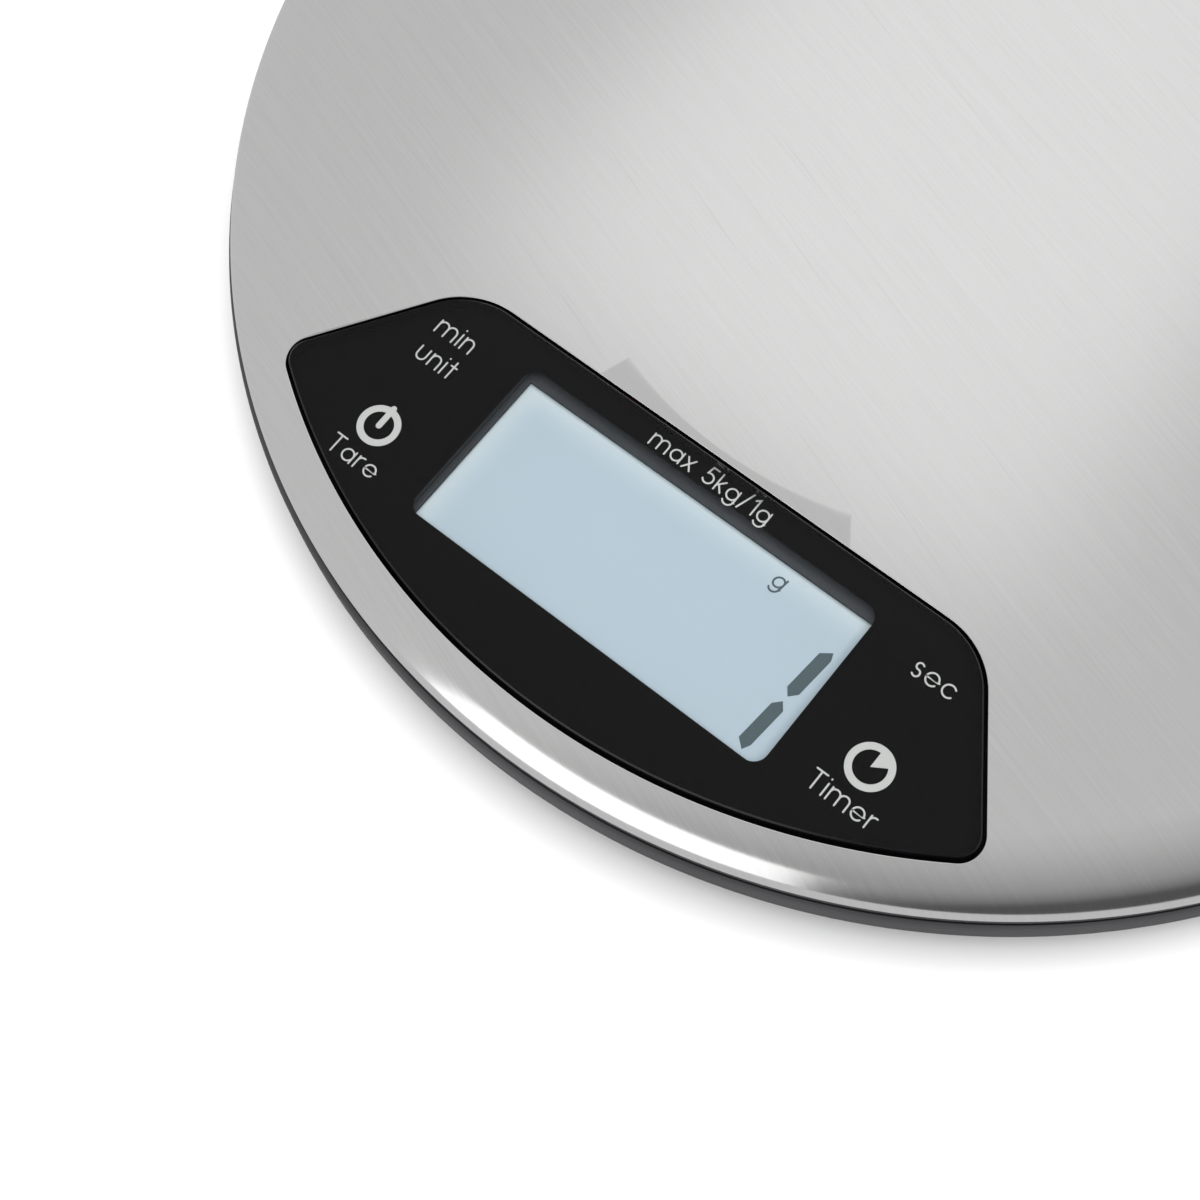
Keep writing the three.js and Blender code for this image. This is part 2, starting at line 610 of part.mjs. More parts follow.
function displayFrame() {
  const outside = -0.1;
  const skirtBottom = FLOOR_TOP + 1.6;
  const shell = lensPrism(outside, skirtBottom, DECK_TOP);
  const hollow = lensPrism(outside - FRAME_WALL, skirtBottom - 1, DECK_BOTTOM);
  const legs = LEG_PLACES.map((place) =>
    cylinder(LEG_RADIUS, FLOOR_TOP + SEAT, DECK_BOTTOM + 0.5, place, 16));
  const posts = POST_PLACES.map((place) =>
    cylinder(POST_RADIUS, PCB_TOP + SEAT, DECK_BOTTOM + 0.5, place, 12));
  const legHoles = LEG_PLACES.map((place) =>
    cylinder(FRAME_SCREW.shank + 0.1, FLOOR_TOP - 1, FLOOR_TOP + 8.5, place, 12));
  const postHoles = POST_PLACES.map((place) =>
    cylinder(PCB_SCREW.shank + 0.1, PCB_TOP - 1, PCB_TOP + 3.4, place, 12));
  const notch = box(
    CABLE_NOTCH.x0, CABLE_NOTCH.x1, -CHORD - 3, -CHORD + 1, skirtBottom - 1, CABLE_NOTCH.top);
  return piece(
    "display_frame",
    cut(
      union(cut(shell, hollow), ...legs, ...posts),
      windowPrism(0.4, DECK_BOTTOM - 1, DECK_TOP + 1),
      ...keyHoles(DECK_BOTTOM - 1, DECK_TOP + 1),
      ...legHoles,
      ...postHoles,
      notch,
    ),
    BLACK_PLASTIC,
  );
}

function lcdPanel() {
  const ledge = 2.4; // the lower glass is wider, and carries the contacts
  const lower = box(-LCD.x, LCD.x, LCD.front, LCD.rear, LCD_BOTTOM, LCD_BOTTOM + LCD_THICKNESS / 2);
  const upper = box(
    -LCD.x, LCD.x, LCD.front + ledge / 2, LCD.rear - ledge / 2, LCD_BOTTOM + 0.5, LCD_TOP);
  return piece("lcd_panel", union(lower, upper), GLASS);
}

function lcdBezel() {
  const slack = 0.15;
  const inner = [-LCD.x - slack, LCD.x + slack, LCD.front - slack, LCD.rear + slack];
  const outer = [
    inner[0] - BEZEL_WALL, inner[1] + BEZEL_WALL, inner[2] - BEZEL_WALL, inner[3] + BEZEL_WALL];
  const body = box(...outer, PCB_TOP + SEAT, BEZEL_TOP);
  const pocket = box(...inner, PCB_TOP - 1, BEZEL_TOP - BEZEL_LIP);
  const opening = box(
    -WINDOW.x + BEZEL_SHOW.left,
    WINDOW.x - BEZEL_SHOW.right,
    WINDOW.front + BEZEL_SHOW.front,
    WINDOW.rear - BEZEL_SHOW.rear,
    LCD_BOTTOM,
    BEZEL_TOP + 1,
  );
  return piece("lcd_bezel", cut(body, pocket, opening), BLACK_PLASTIC);
}

function elastomerStrip(name, y) {
  const half = ELASTOMER.width / 2;
  const made = box(-WINDOW.x, WINDOW.x, y - half, y + half, PCB_TOP + SEAT, LCD_BOTTOM - SEAT);
  return piece(name, made, RUBBER);
}

function mainPcb() {
  const board = lensPrism(-PCB_MARGIN, PCB_BOTTOM, PCB_TOP);
  const legHoles = LEG_PLACES.map((place) =>
    cylinder(LEG_RADIUS + 0.4, PCB_BOTTOM - 1, PCB_TOP + 1, place, 16));
  const screwHoles = POST_PLACES.map((place) =>
    cylinder(PCB_SCREW.shank + 0.3, PCB_BOTTOM - 1, PCB_TOP + 1, place, 12));
  return piece("main_pcb", cut(board, ...legHoles, ...screwHoles), BOARD);
}

/** The dab of resin over the processor, on the underside of the board. */
function processorCover() {
  const [radius, height] = [6, 1.4];
  const rings = [0, 30, 60, 90].map((angle) => [
    radius * Math.cos(degrees(angle)),
    height * Math.sin(degrees(angle)),
  ]);
  const dome = turned([[0, 0], ...rings.slice(0, -1), [0, height]], 20);
  const made = piece("processor_cover", dome, BLACK_PLASTIC);
  made.rotation.x = Math.PI;
  made.position.set(-6, -(CHORD + 17), PCB_BOTTOM - SEAT);
  return made;
}

function converterChip() {
  const y = -(CHORD + 26);
  const made = box(8, 16, y - 2, y + 2, PCB_BOTTOM - SEAT - 1.3, PCB_BOTTOM - SEAT);
  return piece("converter_chip", made, BLACK_PLASTIC);
}

function clockCrystal() {
  const can = new THREE.CylinderGeometry(1, 1, 6, 12).rotateZ(Math.PI / 2);
  const made = solid(can.translate(14, -(CHORD + 12), PCB_BOTTOM - SEAT - 1.05));
  return piece("clock_crystal", made, ALUMINIUM);
}

function capacitor() {
  const can = new THREE.CylinderGeometry(2, 2, 5, 16).rotateZ(Math.PI / 2);
  const made = solid(can.translate(-22, -(CHORD + 30), PCB_BOTTOM - SEAT - 2.1));
  return piece("smoothing_capacitor", made, BLACK_PLASTIC);
}

function piezoBuzzer() {
  const top = PCB_BOTTOM - SEAT;
  const can = cylinder(BUZZER.radius, top - BUZZER.height, top, BUZZER_PLACE, 24);
  const mouth = cylinder(1, top - BUZZER.height - 1, top - BUZZER.height + 1, BUZZER_PLACE, 12);
  return piece("piezo_buzzer", cut(can, mouth), BLACK_PLASTIC);
}

/** A coil that carries a touch key from the board up to the underside of the lens. */
function touchSpring(name, [x, y]) {
  const turns = 4;
  const stepsPerTurn = 8;
  const [z0, z1] = [PCB_TOP + SEAT + SPRING_WIRE, LENS_BOTTOM - SEAT - SPRING_WIRE];
  class Coil extends THREE.Curve {
    getPoint(t, target = new THREE.Vector3()) {
      const angle = t * turns * 2 * Math.PI;
      const rise = z0 + (z1 - z0) * t;
      return target.set(SPRING_RADIUS * Math.cos(angle), SPRING_RADIUS * Math.sin(angle), rise);
    }
  }
  const section = new THREE.Shape();
  section.absarc(0, 0, SPRING_WIRE, 0, 2 * Math.PI);
  const wire = new THREE.ExtrudeGeometry(section, {
    steps: turns * stepsPerTurn,
    extrudePath: new Coil(),
    bevelEnabled: false,
    curveSegments: 3,
  });
  const made = piece(name, solid(wire), CONTACT);
  made.position.set(x, y, 0);
  return made;
}

function frameScrew(name, [x, y]) {
  const { shank, length, head, height } = FRAME_SCREW;
  const made = piece(name, screw(shank, length, head, height), ZINC);
  made.position.set(x, y, FLOOR_BOTTOM + height + 0.1 - SEAT);
  return made;
}

function pcbScrew(name, [x, y]) {
  const { shank, length, head, height } = PCB_SCREW;
  const made = piece(name, screw(shank, length, head, height), ZINC);
  made.position.set(x, y, PCB_BOTTOM - SEAT);
  return made;
}

// ---------------------------------------------------------------- wiring

const WIRE_LEVEL = FLOOR_TOP + RIB_HEIGHT + CABLE_RADIUS + 0.2;

function cellCable() {
  const end = -(CHORD + 8);
  const route = [
    [-6, -CELL_WIDTH / 2 - 0.3, (CELL_BOTTOM + CELL_TOP) / 2],
    [-6, -CELL_WIDTH / 2 - 5, WIRE_LEVEL + 1.5],
    [-10, -CHORD * 0.4, WIRE_LEVEL],
    [-13, -CHORD * 0.7, WIRE_LEVEL],
    [-14, -CHORD, WIRE_LEVEL],
    [-14, end, WIRE_LEVEL + 0.3],
    [-14, end - 2, PCB_BOTTOM - 1.6],
    [-14, end - 2, PCB_BOTTOM - 0.3],
  ];
  return piece("load_cell_cable", tube(route, CABLE_RADIUS, 26), GREY_WIRE);
}

function batteryLead(name, startX, lane, material) {
  const wall = BAY.front - HOOK_ROOM - BAY_WALL;
  const bend = CELL_HALF + 6;
  const z = COIN_TOP - 0.5;
  const end = -(CHORD + 8);
  const route = [
    [startX, wall - 0.4, z],
    [startX, wall - 5, WIRE_LEVEL + 0.6],
    [-bend - lane, wall - 17 + lane, WIRE_LEVEL],
    [-bend - lane, 0, WIRE_LEVEL],
    [-bend + 6 - lane, -CHORD * 0.6, WIRE_LEVEL],
    [-19 - lane, -CHORD + 3, WIRE_LEVEL],
    [-19 - lane, end, WIRE_LEVEL + 0.3],
    [-19 - lane, end - 2, PCB_BOTTOM - 1.6],
    [-19 - lane, end - 2, PCB_BOTTOM - 0.3],
  ];
  return piece(name, tube(route, LEAD_RADIUS, 32), material);
}

// ---------------------------------------------------------------- platform

function platformPlate() {
  const steps = 6;
  const quarter = (reach, drop) =>
    Array.from({ length: steps + 1 }, (_, i) => {
      const angle = (Math.PI / 2) * (i / steps);
      return [
        FLAT_RADIUS + reach * Math.sin(angle),
        PLATFORM_TOP - RIM_DROP + drop * Math.cos(angle),
      ];
    });
  const inner = quarter(RIM_REACH - SHEET, RIM_DROP - SHEET);
  const outer = quarter(RIM_REACH, RIM_DROP).reverse();
  const cap = turned([
    [0, PLATFORM_TOP - SHEET],
    ...inner,
    [PLATFORM_RADIUS - SHEET, RIM_BOTTOM],
    [PLATFORM_RADIUS, RIM_BOTTOM],
    ...outer,
    [0, PLATFORM_TOP],
  ]);
  return piece(
    "platform_plate",
    cut(cap, lensPrism(LENS_GAP, RIM_BOTTOM, PLATFORM_TOP + 1)),
    STEEL,
  );
}

function platformTape() {
  const sheet = cylinder(FLAT_RADIUS - 0.5, TAPE_TOP - TAPE_THICKNESS, TAPE_TOP, [0, 0], ROUND);
  const opening = lensPrism(FRAME_GAP_TO_CARRIER + 1, CARRIER_BOTTOM, PLATFORM_TOP);
  return piece("platform_tape", cut(sheet, opening), FOAM);
}

function platformCarrier() {
  const rib = CARRIER_BOTTOM - CARRIER_RIB;
  const disc = cylinder(CARRIER_RADIUS, CARRIER_BOTTOM, CARRIER_TOP, [0, 0], ROUND);
  const hoop = turned([
    [CARRIER_RADIUS - RIB_THICKNESS, rib],
    [CARRIER_RADIUS, rib],
    [CARRIER_RADIUS, CARRIER_BOTTOM + 0.5],
    [CARRIER_RADIUS - RIB_THICKNESS, CARRIER_BOTTOM + 0.5],
    [CARRIER_RADIUS - RIB_THICKNESS, rib],
  ]);
  const ribs = radialRibs(
    [-30, 0, 30, 60, 90, 120, 150, 180, 210],
    CELL_HALF + 7,
    CARRIER_RADIUS - 0.5,
    rib,
    CARRIER_BOTTOM + 0.5,
  );
  const opening = lensPrism(FRAME_GAP_TO_CARRIER, rib - 1, CARRIER_TOP + 1);
  const top = CARRIER_TOP;
  const sinks = freeHoles.flatMap((place) => [
    cylinder(SCREW_M4 + 0.3, CARRIER_BOTTOM - 1, top + 1, place, 16),
    cylinder(CELL_SCREW.head + HEAD_CLEARANCE, top - CELL_SCREW.height - 0.1, top + 1, place, 24),
  ]);
  return piece(
    "platform_carrier",
    cut(union(disc, hoop, ribs), opening, ...sinks),
    DARK_PLASTIC,
  );
}

// ---------------------------------------------------------------- assembly

function group(...members) {
  return new THREE.Group().add(...members);
}

const baseGroup = group(
  baseShell(),
  ...FEET.map(([name, angle]) => foot(name, angle)),
  loadCell(),
  cellSeal("load_cell_seal_top", CELL_TOP + SEAT),
  cellSeal("load_cell_seal_bottom", CELL_BOTTOM - SEAT - SEAL.thickness),
  ...fixedHoles.map((place, i) => baseCellScrew(`load_cell_base_screw_${i + 1}`, place)),
  stopScrew(),
  coinCell(),
  negativeContact(),
  positiveContact(),
  cellCable(),
  batteryLead("battery_lead_negative", -BAY.x + 2, 3, BLACK_WIRE),
  batteryLead("battery_lead_positive", BAY.x - 2, 0, RED_WIRE),
);

const displayGroup = group(
  displayLens(),
  lensGasket(),
  displayFrame(),
  lcdPanel(),
  lcdBezel(),
  elastomerStrip("elastomer_strip_front", LCD.front + ELASTOMER.width),
  elastomerStrip("elastomer_strip_rear", LCD.rear - ELASTOMER.width),
  mainPcb(),
  processorCover(),
  converterChip(),
  clockCrystal(),
  capacitor(),
  piezoBuzzer(),
  ...Object.entries(KEYS).map(([key, place]) => touchSpring(`touch_spring_${key}`, place)),
  ...LEG_PLACES.map((place, i) => frameScrew(`frame_screw_${i + 1}`, place)),
  ...POST_PLACES.map((place, i) => pcbScrew(`pcb_screw_${i + 1}`, place)),
);

const platformGroup = group(
  platformPlate(),
  platformTape(),
  platformCarrier(),
  cellSpacer(),
  ...freeHoles.map((place, i) => topCellScrew(`load_cell_top_screw_${i + 1}`, place)),
);

export default group(baseGroup, displayGroup, platformGroup, batteryDoor());
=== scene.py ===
"""The looks of a round electronic kitchen scale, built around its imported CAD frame.

Shapes are worked out in millimetres and placed in metres: +Z up, the display at -Y, the origin on the
worktop below the centre.
"""

import math

import bmesh
import bpy
from mathutils import Matrix, Vector


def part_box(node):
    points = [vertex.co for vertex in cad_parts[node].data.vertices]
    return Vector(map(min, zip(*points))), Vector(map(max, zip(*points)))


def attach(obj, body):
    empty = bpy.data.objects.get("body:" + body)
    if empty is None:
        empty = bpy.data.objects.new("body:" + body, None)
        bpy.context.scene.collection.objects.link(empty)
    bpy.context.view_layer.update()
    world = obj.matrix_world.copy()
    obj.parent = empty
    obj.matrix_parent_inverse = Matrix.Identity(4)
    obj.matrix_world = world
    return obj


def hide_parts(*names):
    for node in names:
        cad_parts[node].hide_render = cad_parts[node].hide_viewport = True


MM = 0.001
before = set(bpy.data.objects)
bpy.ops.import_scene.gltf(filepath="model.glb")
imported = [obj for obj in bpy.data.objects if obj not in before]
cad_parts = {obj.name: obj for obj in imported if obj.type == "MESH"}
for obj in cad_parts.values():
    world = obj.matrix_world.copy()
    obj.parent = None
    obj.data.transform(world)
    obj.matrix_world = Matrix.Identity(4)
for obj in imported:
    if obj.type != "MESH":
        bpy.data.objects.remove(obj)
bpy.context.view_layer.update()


def box_mm(node):
    """The lowest and the highest corner of a CAD node, in millimetres."""
    low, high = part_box(node)
    return low / MM, high / MM


def centre_mm(node):
    low, high = box_mm(node)
    return (low + high) / 2


# ------------------------------------------------------------------ driving dimensions, millimetres

SHEET = 0.6  # thickness of the steel
RIM_REACH = 12.5  # the pressed edge is a quarter ellipse, this far in from the rim
RIM_DROP = 5.5
LENS_GAP = 0.5
LENS_CHORD_HALF = 45
LENS_SIDE_ANGLE = math.radians(34.7)
LENS_CHORD_CORNER = 12
LENS_ARC_CORNER = 3.2
LENS_CHAMFER = 0.25
INK = 0.015  # thickness of a printed layer
CUT_ROUNDING = 0.22  # of the cut edge of the steel

plate_low, plate_high = box_mm("platform_plate")
PLATE_TOP = plate_high.z
RIM_BOTTOM = plate_low.z
PLATE_RADIUS = plate_high.x
FLAT_RADIUS = PLATE_RADIUS - RIM_REACH

lens_low, lens_high = box_mm("display_lens")
LENS_TOP = lens_high.z
LENS_BOTTOM = lens_low.z
ARC_RADIUS = -lens_low.y
CHORD = -lens_high.y

shell_low, shell_high = box_mm("base_shell")
BASE_RADIUS = shell_high.x
FLOOR_BOTTOM = shell_low.z
FLOOR_TOP = FLOOR_BOTTOM + 2
WALL_TOP = shell_high.z - 2
BASE_INNER = BASE_RADIUS - 3
BASE_TAPER_OUT = 6
TAPER_TOP = FLOOR_BOTTOM + 6.6

# the clear window, in the black print under the lens
WINDOW_LEFT, WINDOW_RIGHT = -31.5, 30.85
WINDOW_FRONT, WINDOW_REAR = -93.4, -65.4
WINDOW_CORNER = 2.3

LCD_TOP = box_mm("lcd_panel")[1].z


# ------------------------------------------------------------------ mesh helpers


def finished(name, bm):
    """A new object from a bmesh, with its faces turned outwards."""
    bmesh.ops.recalc_face_normals(bm, faces=bm.faces)
    mesh = bpy.data.meshes.new(name)
    bm.to_mesh(mesh)
    bm.free()
    made = bpy.data.objects.new(name, mesh)
    bpy.context.scene.collection.objects.link(made)
    return made


def skin(bm, lower, upper):
    """Faces between two rings of vertices. A ring of one vertex is a pole."""
    count = max(len(lower), len(upper))
    for i in range(count):
        j = (i + 1) % count
        if len(lower) == 1:
            bm.faces.new((lower[0], upper[j], upper[i]))
        elif len(upper) == 1:
            bm.faces.new((lower[i], lower[j], upper[0]))
        else:
            bm.faces.new((lower[i], lower[j], upper[j], upper[i]))


def turned(name, profile, segments=64):
    """A solid of revolution about Z from (radius, height) pairs, from pole to pole."""
    bm = bmesh.new()
    rings = []
    for radius, height in profile:
        if radius < 1e-9:
            rings.append([bm.verts.new((0, 0, height))])
            continue
        angles = [2 * math.pi * i / segments for i in range(segments)]
        rings.append([bm.verts.new((radius * math.cos(a), radius * math.sin(a), height)) for a in angles])
    for lower, upper in zip(rings, rings[1:]):
        skin(bm, lower, upper)
    return finished(name, bm)


def lofted(name, rings):
    """A closed solid through rings of points, each ring with as many points, capped at both ends."""
    bm = bmesh.new()
    made = [[bm.verts.new(point) for point in ring] for ring in rings]
    for lower, upper in zip(made, made[1:]):
        skin(bm, lower, upper)
    bm.faces.new(list(reversed(made[0])))
    bm.faces.new(made[-1])
    return finished(name, bm)


def prism(name, outline, z0, z1):
    return lofted(name, [[(x, y, z) for x, y in outline] for z in (z0, z1)])


def arc(centre, radius, start, end, steps):
    """Points along an arc, with angles in radians."""
    angles = [start + (end - start) * i / steps for i in range(steps + 1)]
    return [(centre[0] + radius * math.cos(a), centre[1] + radius * math.sin(a)) for a in angles]


def rounded_rectangle(x0, x1, y0, y1, radius, steps=8):
    quarter = math.pi / 2
    corners = [(x1 - radius, y1 - radius, 0), (x0 + radius, y1 - radius, 1)]
    corners += [(x0 + radius, y0 + radius, 2), (x1 - radius, y0 + radius, 3)]
    points = []
    for x, y, turn in corners:
        points += arc((x, y), radius, turn * quarter, (turn + 1) * quarter, steps)
    return points


def rounded_box(name, x0, x1, y0, y1, z0, z1, radius=0.6, edge=0.2, steps=6):
    """A plate with rounded corners, and soft edges above and below."""
    rings = [(edge, z0), (edge * 0.3, z0 + edge * 0.3), (0, z0 + edge)]
    rings += [(0, z1 - edge), (edge * 0.3, z1 - edge * 0.3), (edge, z1)]
    made = []
    for inset, z in rings:
        outline = rounded_rectangle(
            x0 + inset, x1 - inset, y0 + inset, y1 - inset, max(radius - inset, 0.02), steps
        )
        made.append([(x, y, z) for x, y in outline])
    return lofted(name, made)


def filleted(corners, steps=6):
    """A path through (radius, height, fillet) corners, with an arc at each corner that has a fillet."""
    path = []
    for i, (x, z, fillet) in enumerate(corners):
        here = Vector((x, z))
        if not fillet or i in (0, len(corners) - 1):
            path.append((x, z))
            continue
        before = (Vector(corners[i - 1][:2]) - here).normalized()
        after = (Vector(corners[i + 1][:2]) - here).normalized()
        half = before.angle(after) / 2
        reach = fillet / math.tan(half)
        middle = here + (before + after).normalized() * fillet / math.sin(half)
        first = here + before * reach - middle
        last = here + after * reach - middle
        sweep = first.angle_signed(last)
        for step in range(steps + 1):
            turn = -sweep * step / steps
            turned_arm = Matrix.Rotation(turn, 2) @ first
            path.append(tuple(middle + turned_arm))
    return path


def moved(piece, x=0, y=0, z=0, turn=0):
    piece.data.transform(Matrix.Translation((x, y, z)) @ Matrix.Rotation(turn, 4, "Z"))
    return piece


def joined(name, parts):
    """One object that holds the meshes of several, which then go."""
    bm = bmesh.new()
    for part in parts:
        bm.from_mesh(part.data)
        bpy.data.meshes.remove(part.data)
    mesh = bpy.data.meshes.new(name)
    bm.to_mesh(mesh)
    bm.free()
    made = bpy.data.objects.new(name, mesh)
    bpy.context.scene.collection.objects.link(made)
    return made


def settled(piece):
    """Turns a piece's modifiers into its mesh."""
    evaluated = piece.evaluated_get(bpy.context.evaluated_depsgraph_get())
    mesh = bpy.data.meshes.new_from_object(evaluated)
    piece.modifiers.clear()
    old = piece.data
    piece.data = mesh
    bpy.data.meshes.remove(old)
    return piece


def boolean(piece, tool, operation="DIFFERENCE"):
    """Cuts a tool from a piece, or joins it to the piece. The tool goes."""
    change = piece.modifiers.new("boolean", "BOOLEAN")
    change.solver = "EXACT"
    change.operation = operation
    change.object = tool
    settled(piece)
    bpy.data.meshes.remove(tool.data)
    return piece


def softened(name, node, width=0.2, segments=2):
    """A copy of a CAD node with its sharp edges rounded, in millimetres."""
    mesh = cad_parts[node].data.copy()
    mesh.transform(Matrix.Scale(1 / MM, 4))
    bm = bmesh.new()
    bm.from_mesh(mesh)
    bmesh.ops.remove_doubles(bm, verts=bm.verts, dist=1e-4)
    bpy.data.meshes.remove(mesh)
    made = finished(name, bm)
    bevel = made.modifiers.new("bevel", "BEVEL")
    bevel.width = width
    bevel.segments = segments
    bevel.limit_method = "ANGLE"
    bevel.angle_limit = math.radians(32)
    return settled(made)


def smooth(piece, angle=35):
    """Smooth shading weighted by the size of the faces, with edges sharper than the angle kept crisp."""
    mesh = piece.data
    mesh.shade_smooth()
    bm = bmesh.new()
    bm.from_mesh(mesh)
    limit = math.radians(angle)
    for edge in bm.edges:
        edge.smooth = len(edge.link_faces) == 2 and edge.calc_face_angle(math.pi) < limit
    bm.to_mesh(mesh)
    bm.free()
    weighted = piece.modifiers.new("weighted", "WEIGHTED_NORMAL")
    weighted.keep_sharp = True
    weighted.weight = 100
    return settled(piece)


def place(piece, body, slot, *materials, replaces=(), angle=35):
    """Finishes a piece that was made in millimetres: its size, shading, material and body."""
    smooth(piece, angle)
    piece.data.transform(Matrix.Scale(MM, 4))
    for material in materials:
        piece.data.materials.append(material)
    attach(piece, body)
    if replaces:
        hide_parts(*replaces)
    return piece


# ------------------------------------------------------------------ material helpers


class Shader:
    """A material's node tree, with short calls for the nodes that are used here."""

    def __init__(self, name, **settings):
        self.material = bpy.data.materials.new(name)
        self.material.use_nodes = True
        self.tree = self.material.node_tree
        self.surface = self.tree.nodes["Principled BSDF"]
        self.output = self.tree.nodes["Material Output"]
        for socket, value in settings.items():
            self.surface.inputs[socket.replace("_", " ").title().replace("Ior", "IOR")].default_value = value

    def node(self, kind, **properties):
        made = self.tree.nodes.new(kind)
        for key, value in properties.items():
            setattr(made, key, value)
        return made

    def link(self, source, target):
        self.tree.links.new(source, target)

    def coordinates(self, scale=(1, 1, 1), turn=0.0):
        """Object coordinates in metres, turned about Z and then stretched."""
        place_node = self.node("ShaderNodeTexCoord")
        turned_by = self.node("ShaderNodeMapping", vector_type="POINT")
        turned_by.inputs["Rotation"].default_value = (0, 0, turn)
        stretched = self.node("ShaderNodeMapping", vector_type="POINT")
        stretched.inputs["Scale"].default_value = scale
        self.link(place_node.outputs["Object"], turned_by.inputs["Vector"])
        self.link(turned_by.outputs["Vector"], stretched.inputs["Vector"])
        return stretched.outputs["Vector"]

    def noise(self, scale, detail=3.0, roughness=0.5, vector=None):
        made = self.node("ShaderNodeTexNoise")
        made.inputs["Scale"].default_value = scale
        made.inputs["Detail"].default_value = detail
        made.inputs["Roughness"].default_value = roughness
        self.link(vector or self.coordinates(), made.inputs["Vector"])
        return made.outputs["Fac"]

    def ramp(self, factor, *stops):
        """A colour ramp through (position, grey or colour) stops."""
        made = self.node("ShaderNodeValToRGB")
        self.link(factor, made.inputs["Fac"])
        elements = made.color_ramp.elements
        while len(elements) < len(stops):
            elements.new(1.0)
        for element, (position, value) in zip(elements, stops):
            element.position = position
            colour = value if isinstance(value, tuple) else (value, value, value)
            element.color = (*colour, 1)
        return made.outputs["Color"]

    def between(self, factor, low, high):
        """A factor from 0 to 1, spread from low to high."""
        made = self.node("ShaderNodeMapRange")
        made.inputs["To Min"].default_value = low
        made.inputs["To Max"].default_value = high
        self.link(factor, made.inputs["Value"])
        return made.outputs["Result"]

    def math(self, operation, first, second=0.0):
        made = self.node("ShaderNodeMath", operation=operation)
        for socket, value in zip(made.inputs, (first, second)):
            if isinstance(value, (int, float)):
                socket.default_value = value
            else:
                self.link(value, socket)
        return made.outputs[0]

    def bump(self, height, strength, distance):
        made = self.node("ShaderNodeBump")
        made.inputs["Strength"].default_value = strength
        made.inputs["Distance"].default_value = distance
        self.link(height, made.inputs["Height"])
        self.link(made.outputs["Normal"], self.surface.inputs["Normal"])


def steel_material():
    """Stainless steel with a fine straight grain, a few longer scratches and a faint cloudiness."""
    grain_turn = math.radians(18)
    steel = Shader("brushed_stainless_steel", metallic=1.0, anisotropic=0.25)
    fine = steel.noise(1.0, 2.0, 0.6, steel.coordinates((90, 5200, 90), grain_turn))
    streaks = steel.noise(1.0, 2.0, 0.5, steel.coordinates((22, 1500, 22), grain_turn))
    scratches = steel.noise(1.0, 1.0, 0.5, steel.coordinates((30, 2300, 30), grain_turn + 0.05))
    clouds = steel.noise(14.0, 2.0)
    both = steel.math("ADD", steel.math("MULTIPLY", fine, 0.6), steel.math("MULTIPLY", streaks, 0.4))
    tint = steel.ramp(both, (0.3, (0.785, 0.784, 0.782)), (0.7, (0.845, 0.844, 0.842)))
    steel.link(tint, steel.surface.inputs["Base Color"])
    marks = steel.ramp(scratches, (0.70, 0.0), (0.76, 1.0))
    roughness = steel.math("ADD", steel.between(both, 0.12, 0.17), steel.between(clouds, -0.01, 0.02))
    roughness = steel.math("ADD", roughness, steel.math("MULTIPLY", marks, 0.06))
    steel.link(roughness, steel.surface.inputs["Roughness"])
    steel.bump(both, 0.10, 0.00002)
    return steel.material


def moulded_material(name, colour, roughness=0.5, grain=2600, depth=0.00004, strength=0.35):
    """Moulded plastic with a fine eroded grain."""
    plastic = Shader(name, specular_ior_level=0.3)
    pits = plastic.noise(grain, 2.0, 0.6)
    cloud = plastic.noise(30.0, 3.0)
    darker = tuple(c * 0.88 for c in colour)
    lighter = tuple(c * 1.12 for c in colour)
    plastic.link(plastic.ramp(cloud, (0.3, darker), (0.7, lighter)), plastic.surface.inputs["Base Color"])
    spread = plastic.between(pits, roughness - 0.06, roughness + 0.08)
    plastic.link(spread, plastic.surface.inputs["Roughness"])
    plastic.bump(pits, strength, depth)
    return plastic.material


def rubber_material(name, colour, roughness=0.75):
    rubber = Shader(name, specular_ior_level=0.35, sheen_weight=0.15, sheen_roughness=0.6)
    dust = rubber.noise(900, 4.0, 0.65)
    smudge = rubber.noise(60, 2.0)
    base = rubber.ramp(smudge, (0.35, colour), (0.75, tuple(c * 1.5 for c in colour)))
    rubber.link(base, rubber.surface.inputs["Base Color"])
    rubber.link(rubber.between(dust, roughness - 0.08, roughness + 0.12), rubber.surface.inputs["Roughness"])
    rubber.bump(dust, 0.3, 0.00005)
    return rubber.material


def metal_material(name, colour, roughness=0.3, stretch=(400, 400, 400), strength=0.15):
    """Milled, plated or rolled metal, with tool marks along one direction."""
    metal = Shader(name, metallic=1.0)
    marks = metal.noise(1.0, 3.0, 0.6, metal.coordinates(stretch))
    stain = metal.noise(120, 3.0)
    tint = metal.ramp(stain, (0.3, tuple(c * 0.86 for c in colour)), (0.7, colour))
    metal.link(tint, metal.surface.inputs["Base Color"])
    metal.link(metal.between(marks, roughness - 0.07, roughness + 0.1), metal.surface.inputs["Roughness"])
    metal.bump(marks, strength, 0.00003)
    return metal.material


def print_material(name, colour, roughness=0.6):
    """Matt screen-printed ink behind the lens."""
    ink = Shader(name, specular_ior_level=0.0, roughness=roughness)
    speckle = ink.noise(5000, 2.0)
    tint = ink.ramp(speckle, (0.3, tuple(c * 0.93 for c in colour)), (0.7, colour))
    ink.link(tint, ink.surface.inputs["Base Color"])
    return ink.material


